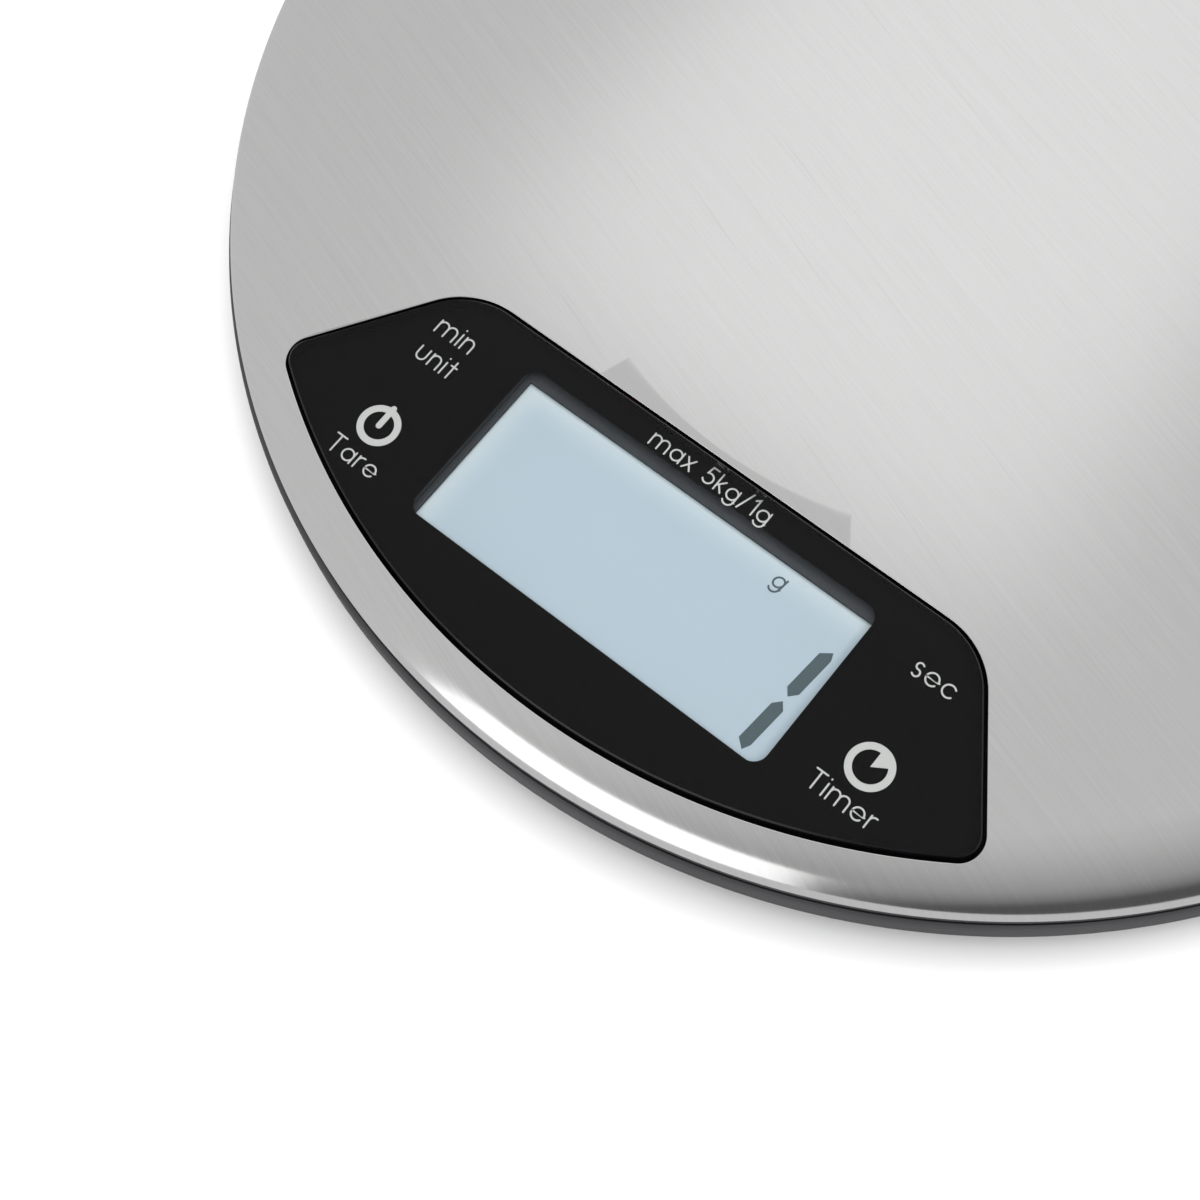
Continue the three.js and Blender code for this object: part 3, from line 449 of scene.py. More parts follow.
def clear_face_material(name, refraction):
    """A clear polished face: it lets light through, and mirrors more at a low angle."""
    clear = Shader(name)
    through = clear.node("ShaderNodeBsdfTransparent")
    through.inputs["Color"].default_value = (0.985, 0.99, 0.985, 1)
    mirror = clear.node("ShaderNodeBsdfAnisotropic")
    smear = clear.noise(55, 3.0)
    clear.link(clear.between(smear, 0.03, 0.09), mirror.inputs["Roughness"])
    share = clear.node("ShaderNodeFresnel")
    share.inputs["IOR"].default_value = refraction
    mixed = clear.node("ShaderNodeMixShader")
    clear.link(share.outputs[0], mixed.inputs[0])
    clear.link(through.outputs[0], mixed.inputs[1])
    clear.link(mirror.outputs[0], mixed.inputs[2])
    clear.tree.nodes.remove(clear.surface)
    clear.link(mixed.outputs[0], clear.output.inputs["Surface"])
    return clear.material


def lcd_material():
    """The reflective face of the display: pale blue-grey, with a painted glow of light that makes it lighter
    beside the rear and left walls.
    """
    lcd = Shader("lcd_reflector", roughness=0.42, specular_ior_level=0.25)
    where = lcd.node("ShaderNodeTexCoord")
    split = lcd.node("ShaderNodeSeparateXYZ")
    lcd.link(where.outputs["Object"], split.inputs[0])
    painted_glow_reach = 5 * MM
    from_left = lcd.node("ShaderNodeMapRange", interpolation_type="SMOOTHSTEP")
    from_left.inputs["From Min"].default_value = LCD_SHOWN_LEFT * MM
    from_left.inputs["From Max"].default_value = LCD_SHOWN_LEFT * MM + painted_glow_reach
    lcd.link(split.outputs[0], from_left.inputs["Value"])
    from_rear = lcd.node("ShaderNodeMapRange", interpolation_type="SMOOTHSTEP")
    from_rear.inputs["From Min"].default_value = LCD_SHOWN_REAR * MM
    from_rear.inputs["From Max"].default_value = LCD_SHOWN_REAR * MM - painted_glow_reach
    lcd.link(split.outputs[1], from_rear.inputs["Value"])
    inside = lcd.math("MULTIPLY", from_left.outputs["Result"], from_rear.outputs["Result"])
    cloud = lcd.noise(45, 2.0)
    level = lcd.math("ADD", lcd.math("MULTIPLY", inside, 0.8), lcd.math("MULTIPLY", cloud, 0.2))
    # painted light: the colour turns lighter towards the rear and left walls, a painted glow rather than the
    # face's own tint
    tint = lcd.ramp(level, (0.05, LCD_PAINTED_GLOW), (0.45, LCD_PAINTED_EDGE_GLOW), (0.95, LCD_MIDDLE))
    lcd.link(tint, lcd.surface.inputs["Base Color"])
    grain = lcd.noise(9000, 1.0)
    lcd.bump(grain, 0.08, 0.00001)
    return lcd.material


def board_material():
    """Green solder resist over copper tracks."""
    board = Shader("circuit_board_resist", roughness=0.35, coat_weight=0.3)
    tracks = board.node("ShaderNodeTexVoronoi", feature="DISTANCE_TO_EDGE")
    tracks.inputs["Scale"].default_value = 260
    board.link(board.coordinates(), tracks.inputs["Vector"])
    tint = board.ramp(tracks.outputs["Distance"], (0.05, (0.03, 0.19, 0.07)), (0.12, (0.012, 0.10, 0.038)))
    board.link(tint, board.surface.inputs["Base Color"])
    board.bump(tracks.outputs["Distance"], 0.2, 0.00003)
    return board.material


LCD_SHOWN_LEFT = -30.9
LCD_SHOWN_REAR = -66.9
# the middle tint is the face's own colour; the two lighter tints are painted glow near the walls
LCD_MIDDLE = (0.315, 0.38, 0.437)
LCD_PAINTED_EDGE_GLOW = (0.345, 0.41, 0.462)
LCD_PAINTED_GLOW = (0.40, 0.455, 0.49)

STEEL = steel_material()
BASE_PLASTIC = moulded_material("base_plastic_grain", (0.055, 0.055, 0.058), 0.6)
DOOR_PLASTIC = moulded_material("door_plastic_grain", (0.065, 0.065, 0.068), 0.58)
CARRIER_PLASTIC = moulded_material("carrier_plastic_grain", (0.06, 0.06, 0.062), 0.5)
BLACK_PLASTIC = moulded_material("inner_plastic_grain", (0.014, 0.014, 0.015), 0.45)
BEZEL_PLASTIC = moulded_material("bezel_plastic_grain", (0.034, 0.037, 0.042), 0.6, strength=0.1)
RUBBER = rubber_material("foot_rubber_matt", (0.018, 0.018, 0.018))
FOAM = rubber_material("adhesive_foam", (0.03, 0.03, 0.031), 0.9)
SEAL = rubber_material("white_silicone", (0.75, 0.74, 0.70), 0.5)
ALUMINIUM = metal_material("milled_aluminium", (0.72, 0.73, 0.74), 0.32, (60, 2600, 60))
ZINC = metal_material("zinc_plated_steel", (0.60, 0.60, 0.585), 0.3)
NICKEL = metal_material("nickel_plated_can", (0.70, 0.70, 0.68), 0.2, (900, 900, 900), 0.06)
SPRING_METAL = metal_material("spring_bronze", (0.72, 0.57, 0.32), 0.28)
GREY_SLEEVE = moulded_material("cable_sleeve_grey", (0.19, 0.20, 0.21), 0.45)
BLACK_SLEEVE = moulded_material("lead_sleeve_black", (0.014, 0.014, 0.014), 0.45)
RED_SLEEVE = moulded_material("lead_sleeve_red", (0.36, 0.022, 0.018), 0.45)
LCD_FACE = lcd_material()
LCD_INK = print_material("lcd_segment_dark", (0.066, 0.09, 0.10))
BOARD = board_material()
BLACK_INK = print_material("lens_ink_black", (0.0022, 0.0022, 0.0024))
WHITE_INK = print_material("legend_ink_white", (0.42, 0.42, 0.42))
LENS_EDGE = moulded_material("lens_edge_dark", (0.006, 0.006, 0.007), 0.2, 4000, 0.00001, 0.1)
LENS_FACE = clear_face_material("lens_face_clear", 1.33)
LENS_BACK = clear_face_material("lens_back_clear", 1.001)


# ------------------------------------------------------------------ platform


def rim_arc(reach, drop, steps=30):
    """The quarter ellipse of the pressed edge, from the flat to the skirt."""
    spring_line = PLATE_TOP - RIM_DROP
    points = []
    for step in range(steps + 1):
        angle = math.pi / 2 * step / steps
        points.append((FLAT_RADIUS + reach * math.sin(angle), spring_line + drop * math.cos(angle)))
    return points


def plate_height(x, y):
    """The height of the steel's upper face at a place."""
    out = min(max((math.hypot(x, y) - FLAT_RADIUS) / RIM_REACH, 0), 1)
    return PLATE_TOP - RIM_DROP * (1 - math.sqrt(1 - out * out))


def lens_outline(grow=0.0):
    """A chord, two slanting sides and an arc, all rounded, as points that match for every grow."""
    normal = Vector((math.cos(LENS_SIDE_ANGLE), math.sin(LENS_SIDE_ANGLE)))
    side = Vector((math.sin(LENS_SIDE_ANGLE), -math.cos(LENS_SIDE_ANGLE)))
    offset = LENS_CHORD_HALF * normal.x - CHORD * normal.y
    rear_y = -(CHORD + LENS_CHORD_CORNER)
    rear_x = (offset - LENS_CHORD_CORNER - rear_y * normal.y) / normal.x
    inset = offset - LENS_ARC_CORNER
    along = math.sqrt((ARC_RADIUS - LENS_ARC_CORNER) ** 2 - inset**2)
    front = side * along + normal * inset
    arc_turn = math.atan2(front.y, front.x)
    right = arc((rear_x, rear_y), LENS_CHORD_CORNER + grow, math.pi / 2, LENS_SIDE_ANGLE, 16)
    right += arc(front, LENS_ARC_CORNER + grow, LENS_SIDE_ANGLE, arc_turn, 16)
    right += arc((0, 0), ARC_RADIUS + grow, arc_turn, -math.pi / 2, 40)[1:]
    left = [(-x, y) for x, y in reversed(right[:-1])]
    return right + left


def platform():
    """The pressed steel top, with a cut-out that follows the display and softly rounded cut edges."""
    inner = rim_arc(RIM_REACH - SHEET, RIM_DROP - SHEET)
    lip = SHEET / 2
    lip_centre = (PLATE_RADIUS - lip, RIM_BOTTOM + lip)
    lip_arc = arc(lip_centre, lip, 0, -math.pi, 8)
    middle_ring = 60
    flat = [(0, PLATE_TOP), (middle_ring, PLATE_TOP), (FLAT_RADIUS - 1, PLATE_TOP)]
    under = [(r, z) for r, z in reversed(inner)]
    under += [(FLAT_RADIUS - 1, PLATE_TOP - SHEET), (0, PLATE_TOP - SHEET)]
    plate = turned("platform", flat + rim_arc(RIM_REACH, RIM_DROP) + lip_arc + under, 288)
    tool_rings = [[(x, y, RIM_BOTTOM - 1) for x, y in lens_outline(LENS_GAP)]]
    for step in range(5):
        turn = math.pi / 2 * step / 4
        grow = LENS_GAP + CUT_ROUNDING * (1 - math.cos(turn))
        sink = CUT_ROUNDING * (1 - math.sin(turn))
        tool_rings.append([(x, y, plate_height(x, y) - sink) for x, y in lens_outline(grow)])
    widest = lens_outline(LENS_GAP + CUT_ROUNDING)
    tool_rings.append([(x, y, PLATE_TOP + 2) for x, y in widest])
    boolean(plate, lofted("cut_out", tool_rings))
    return place(plate, "platform", "platform_steel", STEEL, replaces=["platform_plate"], angle=30)


# ------------------------------------------------------------------ base


def hole(x, y, stations, segments=32):
    """A round cutter at a place, from (radius, height) pairs."""
    bottom, top = stations[0][1], stations[-1][1]
    tool = turned("hole", [(0, bottom), *stations, (0, top)], segments)
    return moved(tool, x, y)


BELOW_FLOOR = FLOOR_BOTTOM - 1  # where a cutter starts and ends, clear of the floor
ABOVE_FLOOR = FLOOR_TOP + 1


def screw_hole(node, head, shank, depth):
    """A cutter for a screw's hole and its counterbore, which is a little wider at its mouth."""
    at = centre_mm(node)
    seat = FLOOR_BOTTOM + depth
    counterbore = [(head + 0.35, BELOW_FLOOR), (head + 0.15, FLOOR_BOTTOM + 0.1), (head, seat)]
    return hole(at.x, at.y, [*counterbore, (shank, seat), (shank, ABOVE_FLOOR)])


def base_shell():
    """The moulded tray, with its battery bay, foot pockets, screw holes and sound holes."""
    floor_radius = BASE_RADIUS - BASE_TAPER_OUT
    inner_floor = BASE_INNER - BASE_TAPER_OUT
    lip_top = shell_high.z
    profile = filleted(
        [
            (0, FLOOR_BOTTOM, 0),
            (floor_radius, FLOOR_BOTTOM, 1.6),
            (BASE_RADIUS, TAPER_TOP, 0.8),
            (BASE_RADIUS, WALL_TOP, 0.25),
            (BASE_RADIUS - 0.85, WALL_TOP, 0.08),
            (BASE_RADIUS - 0.85, WALL_TOP - 1.8, 0),
            (BASE_INNER + 1, WALL_TOP - 1.8, 0),
            (BASE_INNER + 1, lip_top, 0.2),
            (BASE_INNER, lip_top, 0.2),
            (BASE_INNER, TAPER_TOP + 0.6, 2),
            (inner_floor, FLOOR_TOP, 1),
            (0, FLOOR_TOP, 0),
        ]
    )
    shell = turned("base_shell_moulding", profile, 288)

    door_low, door_high = box_mm("battery_door")
    gap = 0.3
    door_x = door_high.x + gap
    hook_room = 0.6
    hook_ledge = 2.8
    bay_front = door_low.y - hook_room
    door_front = bay_front + hook_ledge
    bay_rear = door_high.y + gap
    roof = box_mm("coin_cell")[1].z + 0.9
    wall = 1.2

    outer = rounded_box(
        "bay", -door_x - wall, door_x + wall, bay_front - wall, bay_rear + wall,
        FLOOR_TOP - 0.5, roof + wall, 1.0, 0.3,
    )
    boolean(shell, outer, "UNION")
    bay_outline = rounded_rectangle(-door_x, door_x, bay_front, bay_rear, 0.4, 3)
    boolean(shell, prism("bay_inside", bay_outline, FLOOR_TOP, roof))
    doorway = prism(
        "doorway", rounded_rectangle(-door_x, door_x, door_front, bay_rear, 1.2, 6),
        BELOW_FLOOR, FLOOR_TOP + 0.5,
    )
    notch = lofted(
        "nail_notch",
        [
            [(x, y, BELOW_FLOOR) for x, y in rounded_rectangle(-7, 7, bay_rear - 1, bay_rear + 6, 3)],
            [(x, y, FLOOR_BOTTOM + 1.1) for x, y in rounded_rectangle(-5, 5, bay_rear - 1, bay_rear + 4, 2)],
        ],
    )
    boolean(shell, doorway)
    boolean(shell, notch)

    tools = []
    for corner in ("front_left", "front_right", "rear_left", "rear_right"):
        place_of = centre_mm("foot_" + corner)
        pocket = [(6.5, BELOW_FLOOR), (6.5, FLOOR_BOTTOM)]
        pocket += [(6.3, FLOOR_BOTTOM + 0.2), (6.3, FLOOR_BOTTOM + 1)]
        tools.append(hole(place_of.x, place_of.y, pocket, 64))
    for index in (1, 2, 3, 4):
        tools.append(screw_hole(f"frame_screw_{index}", 2.75, 1.6, 1.1))
    for index in (1, 2):
        tools.append(screw_hole(f"load_cell_base_screw_{index}", 3.95, 2.3, 1.6))
    stop = centre_mm("overload_stop_screw")
    stop_bore = [(2.3, BELOW_FLOOR), (2.1, FLOOR_BOTTOM + 0.2), (2.1, ABOVE_FLOOR)]
    tools.append(hole(stop.x, stop.y, stop_bore))
    buzzer = centre_mm("piezo_buzzer")
    sound_hole = [(1.1, BELOW_FLOOR), (0.9, FLOOR_BOTTOM + 0.2), (0.9, ABOVE_FLOOR)]
    sound_holes = 5
    sound_ring = 4
    for step in range(sound_holes):
        turn = 2 * math.pi * step / sound_holes
        x = buzzer.x + sound_ring * math.cos(turn)
        y = buzzer.y + sound_ring * math.sin(turn)
        tools.append(hole(x, y, sound_hole, 20))
    boolean(shell, joined("holes", tools))
    return place(shell, "base", "base_plastic", BASE_PLASTIC, replaces=["base_shell"], angle=28)


def foot(corner):
    """A soft foot with a rounded edge, a shallow cup and two fine rings that grip."""
    node = "foot_" + corner
    low, high = box_mm(node)
    at = centre_mm(node)
    radius = (high.x - low.x) / 2
    rings = [(0, low.z + 0.25), (2.2, low.z + 0.25), (2.5, low.z), (3.3, low.z), (3.5, low.z + 0.22)]
    rings += [(3.8, low.z + 0.22), (4.0, low.z), (4.7, low.z), (4.9, low.z + 0.16), (5.1, low.z)]
    rings += arc((radius - 0.5, low.z + 0.5), 0.5, -math.pi / 2, 0, 6)
    rings += [(radius, high.z - 0.2), (radius - 0.2, high.z), (0, high.z)]
    pad = moved(turned(node + "_pad", rings, 64), at.x, at.y)
    return place(pad, "base", "foot_rubber", RUBBER, replaces=[node])


def battery_door():
    """The door with its two hooks, its sprung latch and ridges for a fingertip."""
    door = softened("battery_door_cover", "battery_door", 0.18)
    low, high = box_mm("battery_door")
    ridges = []
    first_ridge, spacing = 3.2, 1.3  # from the door's rear edge, and between ridges
    for step in range(5):
        y = high.y - first_ridge - spacing * step
        ridge = rounded_box(
            "ridge", -4.6, 4.6, y - 0.3, y + 0.3, low.z - 0.25, low.z + 0.3, 0.28, 0.12, 4
        )
        ridges.append(ridge)
    boolean(door, joined("ridges", ridges), "UNION")
    return place(door, "battery_door", "base_plastic", DOOR_PLASTIC, replaces=["battery_door"])


def flat_ring(half_x, half_y, radius, z):
    """A rounded rectangle about the origin, as a ring of points at one height."""
    return [(x, y, z) for x, y in rounded_rectangle(-half_x, half_x, -half_y, half_y, radius, 2)]


def screw(node, body, head_radius, head_height, shank_radius, upwards=True):
    """A pan-head screw with a cross recess and a rolled thread, which points up or down."""
    low, high = box_mm(node)
    at = centre_mm(node)
    length = high.z - low.z - head_height
    dome = head_height * 0.55
    profile = [(0, -head_height)]
    for step in range(1, 7):
        turn = math.pi / 2 * step / 6
        profile.append((head_radius * math.sin(turn), -head_height + dome * (1 - math.cos(turn))))
    profile += [(head_radius, -0.05), (head_radius - 0.1, 0), (shank_radius * 0.85, 0)]
    pitch = 0.62
    root = shank_radius * 0.78
    thread_start = 0.5
    unthreaded = 1.4
    turns = int((length - unthreaded) / pitch)
    for step in range(turns):
        z = thread_start + pitch * step
        profile += [(root, z), (shank_radius, z + pitch * 0.4), (shank_radius, z + pitch * 0.5)]
    profile += [(root, thread_start + pitch * turns), (root * 0.9, length - 0.5)]
    profile += [(root * 0.45, length), (0, length)]
    made = turned(node + "_threaded", profile, 32)
    arm, slot = head_radius * 0.55, 0.24
    floor = -head_height * 0.42
    for x, y in ((arm, slot), (slot, arm)):
        mouth = flat_ring(x * 1.3, y * 1.3, 0.1, -2 * head_height)
        bottom = flat_ring(x * 0.75, y * 0.8, 0.06, floor)
        boolean(made, lofted("recess", [mouth, bottom]))
    if upwards:
        moved(made, at.x, at.y, low.z + head_height)
    else:
        made.data.transform(Matrix.Rotation(math.pi, 4, "X"))
        moved(made, at.x, at.y, high.z - head_height)
    return place(made, body, "screw_steel", ZINC, replaces=[node])


def stop_screw():
    """The overload stop: a set screw with a hexagon socket."""
    node = "overload_stop_screw"
    low, high = box_mm(node)
    at = centre_mm(node)
    profile = [(0, low.z), (1.7, low.z), (1.98, low.z + 0.28)]
    pitch = 0.5
    turns = int((high.z - low.z - 1.2) / pitch)
    for step in range(turns):
        z = low.z + 0.5 + pitch * step
        profile += [(1.98, z), (1.75, z + pitch / 2)]
    profile += [(1.98, high.z - 0.5), (1.6, high.z), (0, high.z)]
    made = turned(node + "_threaded", profile, 36)
    socket = turned("socket", [(0, low.z - 1), (1.05, low.z - 1), (1.05, low.z + 1.6), (0, low.z + 1.9)], 6)
    boolean(made, socket)
    moved(made, at.x, at.y)
    return place(made, "base", "screw_steel", ZINC, replaces=[node])


# ------------------------------------------------------------------ display


def lens():
    """The clear plate over the display: polished faces, dark edges and a fine chamfer."""
    body = lofted(
        "lens_plate",
        [
            [(x, y, LENS_BOTTOM + 0.08) for x, y in lens_outline(-0.02)],
            [(x, y, LENS_TOP - LENS_CHAMFER) for x, y in lens_outline(-0.02)],
            [(x, y, LENS_TOP) for x, y in lens_outline(-LENS_CHAMFER)],
        ],
    )
    for face in body.data.polygons:
        if face.normal.z > 0.99:
            face.material_index = 0
        elif face.normal.z < -0.99:
            face.material_index = 1
        else:
            face.material_index = 2
    materials = (LENS_FACE, LENS_BACK, LENS_EDGE)
    return place(body, "base", "lens_black", *materials, replaces=["display_lens"], angle=20)


def lens_print():
    """The black layer behind the lens, open at the window."""
    layer = prism("lens_black_print", lens_outline(-0.03), LENS_BOTTOM, LENS_BOTTOM + INK)
    opening = rounded_rectangle(WINDOW_LEFT, WINDOW_RIGHT, WINDOW_FRONT, WINDOW_REAR, WINDOW_CORNER, 10)
    boolean(layer, prism("window", opening, LENS_BOTTOM - 1, LENS_BOTTOM + 1))
    return place(layer, "base", "lens_black", BLACK_INK)


PRINT_LEVEL = LENS_BOTTOM + INK + 0.003  # the white print, just in front of the black


def ribbon(bm, points, width, z0, z1, closed=False):
    """A flat stroke of even width along points, with round ends."""
    points = [Vector(p) for p in points]
    count = len(points)
    half = width / 2
    left, right = [], []
    for i, here in enumerate(points):
        before = points[i - 1] if i or closed else None
        after = points[(i + 1) % count] if i + 1 < count or closed else None
        first = (here - before).normalized() if before is not None else None
        second = (after - here).normalized() if after is not None else None
        along = ((first or second) + (second or first)).normalized()
        across = Vector((-along.y, along.x))
        reach = half / max(across.dot(Vector((-(first or second).y, (first or second).x))), 0.4)
        left.append(here + across * reach)
        right.append(here - across * reach)
    if closed:
        rings = [left, right]
        levels = []
        for ring in rings:
            levels.append([[bm.verts.new((p.x, p.y, z)) for p in ring] for z in (z0, z1)])
        (left0, left1), (right0, right1) = levels
        skin(bm, left0, left1)
        skin(bm, right1, right0)
        skin(bm, left1, right1)
        skin(bm, right0, left0)
        return
    outline = []
    steps = 6
    start = (points[1] - points[0]).normalized()
    turn = math.atan2(start.y, start.x)
    outline += [Vector(p) for p in arc(points[0], half, turn + math.pi / 2, turn + 3 * math.pi / 2, steps)]
    outline += right[1:-1]
    end = (points[-1] - points[-2]).normalized()
    turn = math.atan2(end.y, end.x)
    outline += [Vector(p) for p in arc(points[-1], half, turn - math.pi / 2, turn + math.pi / 2, steps)]
    outline += reversed(left[1:-1])
    lower = [bm.verts.new((p.x, p.y, z0)) for p in outline]
    upper = [bm.verts.new((p.x, p.y, z1)) for p in outline]
    skin(bm, lower, upper)
    bm.faces.new(list(reversed(lower)))
    bm.faces.new(upper)


def bow(x, y, radius, start, end, steps=14):
    """An arc of a letter, with its angles in degrees."""
    return arc((x, y), radius, math.radians(start), math.radians(end), steps)


def letters():
    """A thin geometric alphabet: each letter's advance and strokes, with an x-height of 1."""
    arch = 0.38
    round_ = 0.46
    full = bow(round_, 0.5, round_, 0, 360, 28)[:-1]
    small_n = [[(0, 0), (0, 1)], [(0, 0.5), *bow(arch, 1 - arch, arch, 180, 0), (2 * arch, 0)]]
    small_m = [*small_n, [(2 * arch, 0.5), *bow(3 * arch, 1 - arch, arch, 180, 0), (4 * arch, 0)]]
    return {
        "m": (4 * arch, small_m),
        "n": (2 * arch, small_n),
        "u": (2 * arch, [[(0, 1), *bow(arch, arch, arch, 180, 360), (2 * arch, 1)]]),
        "i": (0, [[(0, 0), (0, 1)], [(0, 1.36), (0, 1.38)]]),
        "t": (0.5, [[(0.25, 0), (0.25, 1.42)], [(0, 1), (0.5, 1)]]),
        "T": (0.9, [[(0, 1.42), (0.9, 1.42)], [(0.45, 0), (0.45, 1.42)]]),
        "a": (2 * round_, [full, [(2 * round_, 0), (2 * round_, 1)]]),
        "r": (0.42, [[(0, 0), (0, 1)], [(0, 0.5), *bow(arch, 1 - arch, arch, 180, 80)]]),
        "e": (2 * round_, [[(0, 0.5), (2 * round_, 0.5), *bow(round_, 0.5, round_, 0, 322, 24)]]),
        "s": (0.56, [[*bow(0.28, 0.75, 0.25, 40, 250, 10), *bow(0.28, 0.25, 0.27, 70, -140, 10)]]),
        "c": (0.82, [bow(round_, 0.5, round_, 42, 318, 22)]),
        "x": (0.72, [[(0, 0), (0.72, 1)], [(0, 1), (0.72, 0)]]),
        "k": (0.62, [[(0, 0), (0, 1.42)], [(0, 0.4), (0.56, 1)], [(0.16, 0.56), (0.62, 0)]]),
        "g": (
            2 * round_,
            [full, [(2 * round_, 1), (2 * round_, 0), *bow(round_, 0, round_, 0, -150, 14)]],
        ),
        "5": (0.78, [[(0.74, 1.42), (0.2, 1.42), (0.1, 0.84), *bow(0.36, 0.46, 0.43, 110, -150, 18)]]),
        "1": (0.3, [[(0, 1.18), (0.3, 1.42), (0.3, 0)]]),
        "/": (0.55, [[(0, -0.12), (0.55, 1.5)]]),
        " ": (0.4, []),
    }


ALPHABET = letters()
LETTER_GAP = 0.38


def word_width(text, size):
    advances = [ALPHABET[letter][0] for letter in text]
    return size * (sum(advances) + LETTER_GAP * (len(text) - 1))


def write(bm, text, centre, size, weight, z0, z1, slant=0.0):
    """Strokes for a word that is centred on a place, at half its x-height."""
    x = centre[0] - word_width(text, size) / 2
    for letter in text:
        advance, strokes = ALPHABET[letter]
        for order, stroke in enumerate(strokes):
            lift = 0.004 * order
            loop = len(stroke) > 20 and stroke[0] != stroke[-1] and math.dist(stroke[0], stroke[-1]) < 0.2
            placed = []
            for px, py in stroke:
                placed.append((x + size * (px + slant * py), centre[1] + size * (py - 0.5)))
            ribbon(bm, placed, weight, z0, z1 + lift, closed=loop)
        x += size * (advance + LETTER_GAP)


def legends():
    """The white print: the names of the touch keys and the capacity."""
    weight = 0.26
    words = {
        "min": (-43.6, -68.6, 2.1),
        "unit": (-43.2, -73.5, 2.05),
        "Tare": (-42.8, -92.4, 1.98),
        "sec": (42.2, -69.0, 2.1),
        "Timer": (42.4, -90.2, 1.98),
        "max 5kg/1g": (-0.2, -63.85, 1.87),
    }
    for text, (x, y, size) in words.items():
        bm = bmesh.new()
        write(bm, text, (x, y), size, weight, PRINT_LEVEL, PRINT_LEVEL + INK)
        name = "legend_" + text.split()[0].lower()
        place(finished(name, bm), "base", "lens_black", WHITE_INK)


def ring(bm, centre, radius, width):
    """A printed ring of even width."""
    points = arc(centre, radius, 0, 2 * math.pi, 64)[:-1]
    ribbon(bm, points, width, PRINT_LEVEL, PRINT_LEVEL + INK, closed=True)


def power_symbol():
    """A ring with a bar that starts at its centre and just passes the top."""
    centre = (-43.1, -86.2)
    radius, width = 2.75, 1.05
    bm = bmesh.new()
    ring(bm, centre, radius, width)
    bar = [centre, (centre[0], centre[1] + radius + 0.55)]
    ribbon(bm, bar, 0.95, PRINT_LEVEL, PRINT_LEVEL + INK + 0.005)
    return place(finished("legend_power", bm), "base", "lens_black", WHITE_INK)


def timer_symbol():
    """A ring like a clock face, with the first sixth of the hour filled in."""
    centre = (42.6, -84.0)
    radius, width = 2.95, 1.05
    bm = bmesh.new()
    ring(bm, centre, radius, width)
    sector = [centre, *arc(centre, radius, math.radians(90), math.radians(32), 10)]
    lower = [bm.verts.new((x, y, PRINT_LEVEL)) for x, y in sector]
    upper = [bm.verts.new((x, y, PRINT_LEVEL + INK + 0.005)) for x, y in sector]
    skin(bm, lower, upper)
    bm.faces.new(list(reversed(lower)))
    bm.faces.new(upper)
    return place(finished("legend_timer_clock", bm), "base", "lens_black", WHITE_INK)


def lcd():
    """The two glasses of the display, with a pale reflective face."""
    low, high = box_mm("lcd_panel")
    middle = (low.z + high.z) / 2
    ledge = 1.2
    lower = rounded_box("lower", low.x, high.x, low.y, high.y, low.z, middle, 0.3, 0.08)
    upper = rounded_box(
        "lcd_glass", low.x, high.x, low.y + ledge, high.y - 0.7, middle - 0.2, high.z, 0.3, 0.08
    )
    boolean(upper, lower, "UNION")
    return place(upper, "base", "lcd_glass", LCD_FACE, replaces=["lcd_panel"])


def segment(top_x, top_y, low_x, low_y, half, top_lean, low_lean):
    """A long slanted display segment with a point at each end, as an outline."""
    shoulder = 1.15
    down = Vector((low_x - top_x, low_y - top_y)).normalized()
    head, tail = Vector((top_x, top_y)), Vector((low_x, low_y))
    across = Vector((half, 0))
    upper, lower = head + down * shoulder, tail - down * shoulder
    return [
        head + Vector((top_lean, 0)), upper - across, lower - across,
        tail + Vector((low_lean, 0)), lower + across, upper + across,
    ]


def lcd_segments():
    """What the display shows: the figure 1 at its right end, and the unit."""
    level = LCD_TOP + 0.002
    half, slant, lean = 1.0, 0.085, 0.45
    mid_x, mid_y = 27.5, -82.65
    reach, split = 9.3, 0.45
    outlines = []
    for sign in (1, -1):
        near = mid_y + sign * split
        far = mid_y + sign * reach
        near_x, far_x = mid_x + slant * sign * split, mid_x + slant * sign * reach
        if sign > 0:
            outlines.append(segment(far_x, far, near_x, near, half, lean, 0))
        else:
            outlines.append(segment(near_x, near, far_x, far, half, 0, lean))
    bars = [prism("bar", [tuple(p) for p in outline], level, level + INK) for outline in outlines]
    place(joined("lcd_figure", bars), "base", "lcd_glass", LCD_INK)
    bm = bmesh.new()
    write(bm, "g", (16.4, -69.6), 1.75, 0.3, level, level + INK, slant=0.12)
    place(finished("lcd_unit_gram", bm), "base", "lcd_glass", LCD_INK)


def soft_copies():
    """Moulded and machined pieces whose CAD shape is right, with their edges rounded."""
    rows = [
        ("lcd_bezel", "base", "inner_plastic", BEZEL_PLASTIC, 0.1),
        ("display_frame", "base", "inner_plastic", BEZEL_PLASTIC, 0.15),
        ("load_cell", "base", "cell_aluminium", ALUMINIUM, 0.15),
        ("platform_carrier", "platform", "carrier_plastic", CARRIER_PLASTIC, 0.15),
    ]
    for node, body, slot, material, width in rows:
        place(softened(node + "_rounded", node, width), body, slot, material, replaces=[node])


# ------------------------------------------------------------------ assembly

platform()
base_shell()
for corner in ("front_left", "front_right", "rear_left", "rear_right"):
    foot(corner)
battery_door()
for index in (1, 2, 3, 4):
    screw(f"frame_screw_{index}", "base", 2.4, 1.0, 1.3)
    screw(f"pcb_screw_{index}", "base", 1.9, 1.1, 1.0)
for index in (1, 2):
    screw(f"load_cell_base_screw_{index}", "base", 3.6, 1.4, 2.0)
    screw(f"load_cell_top_screw_{index}", "platform", 3.6, 1.4, 2.0, upwards=False)
stop_screw()
lens()
lens_print()
legends()
power_symbol()
timer_symbol()
lcd()
lcd_segments()
soft_copies()

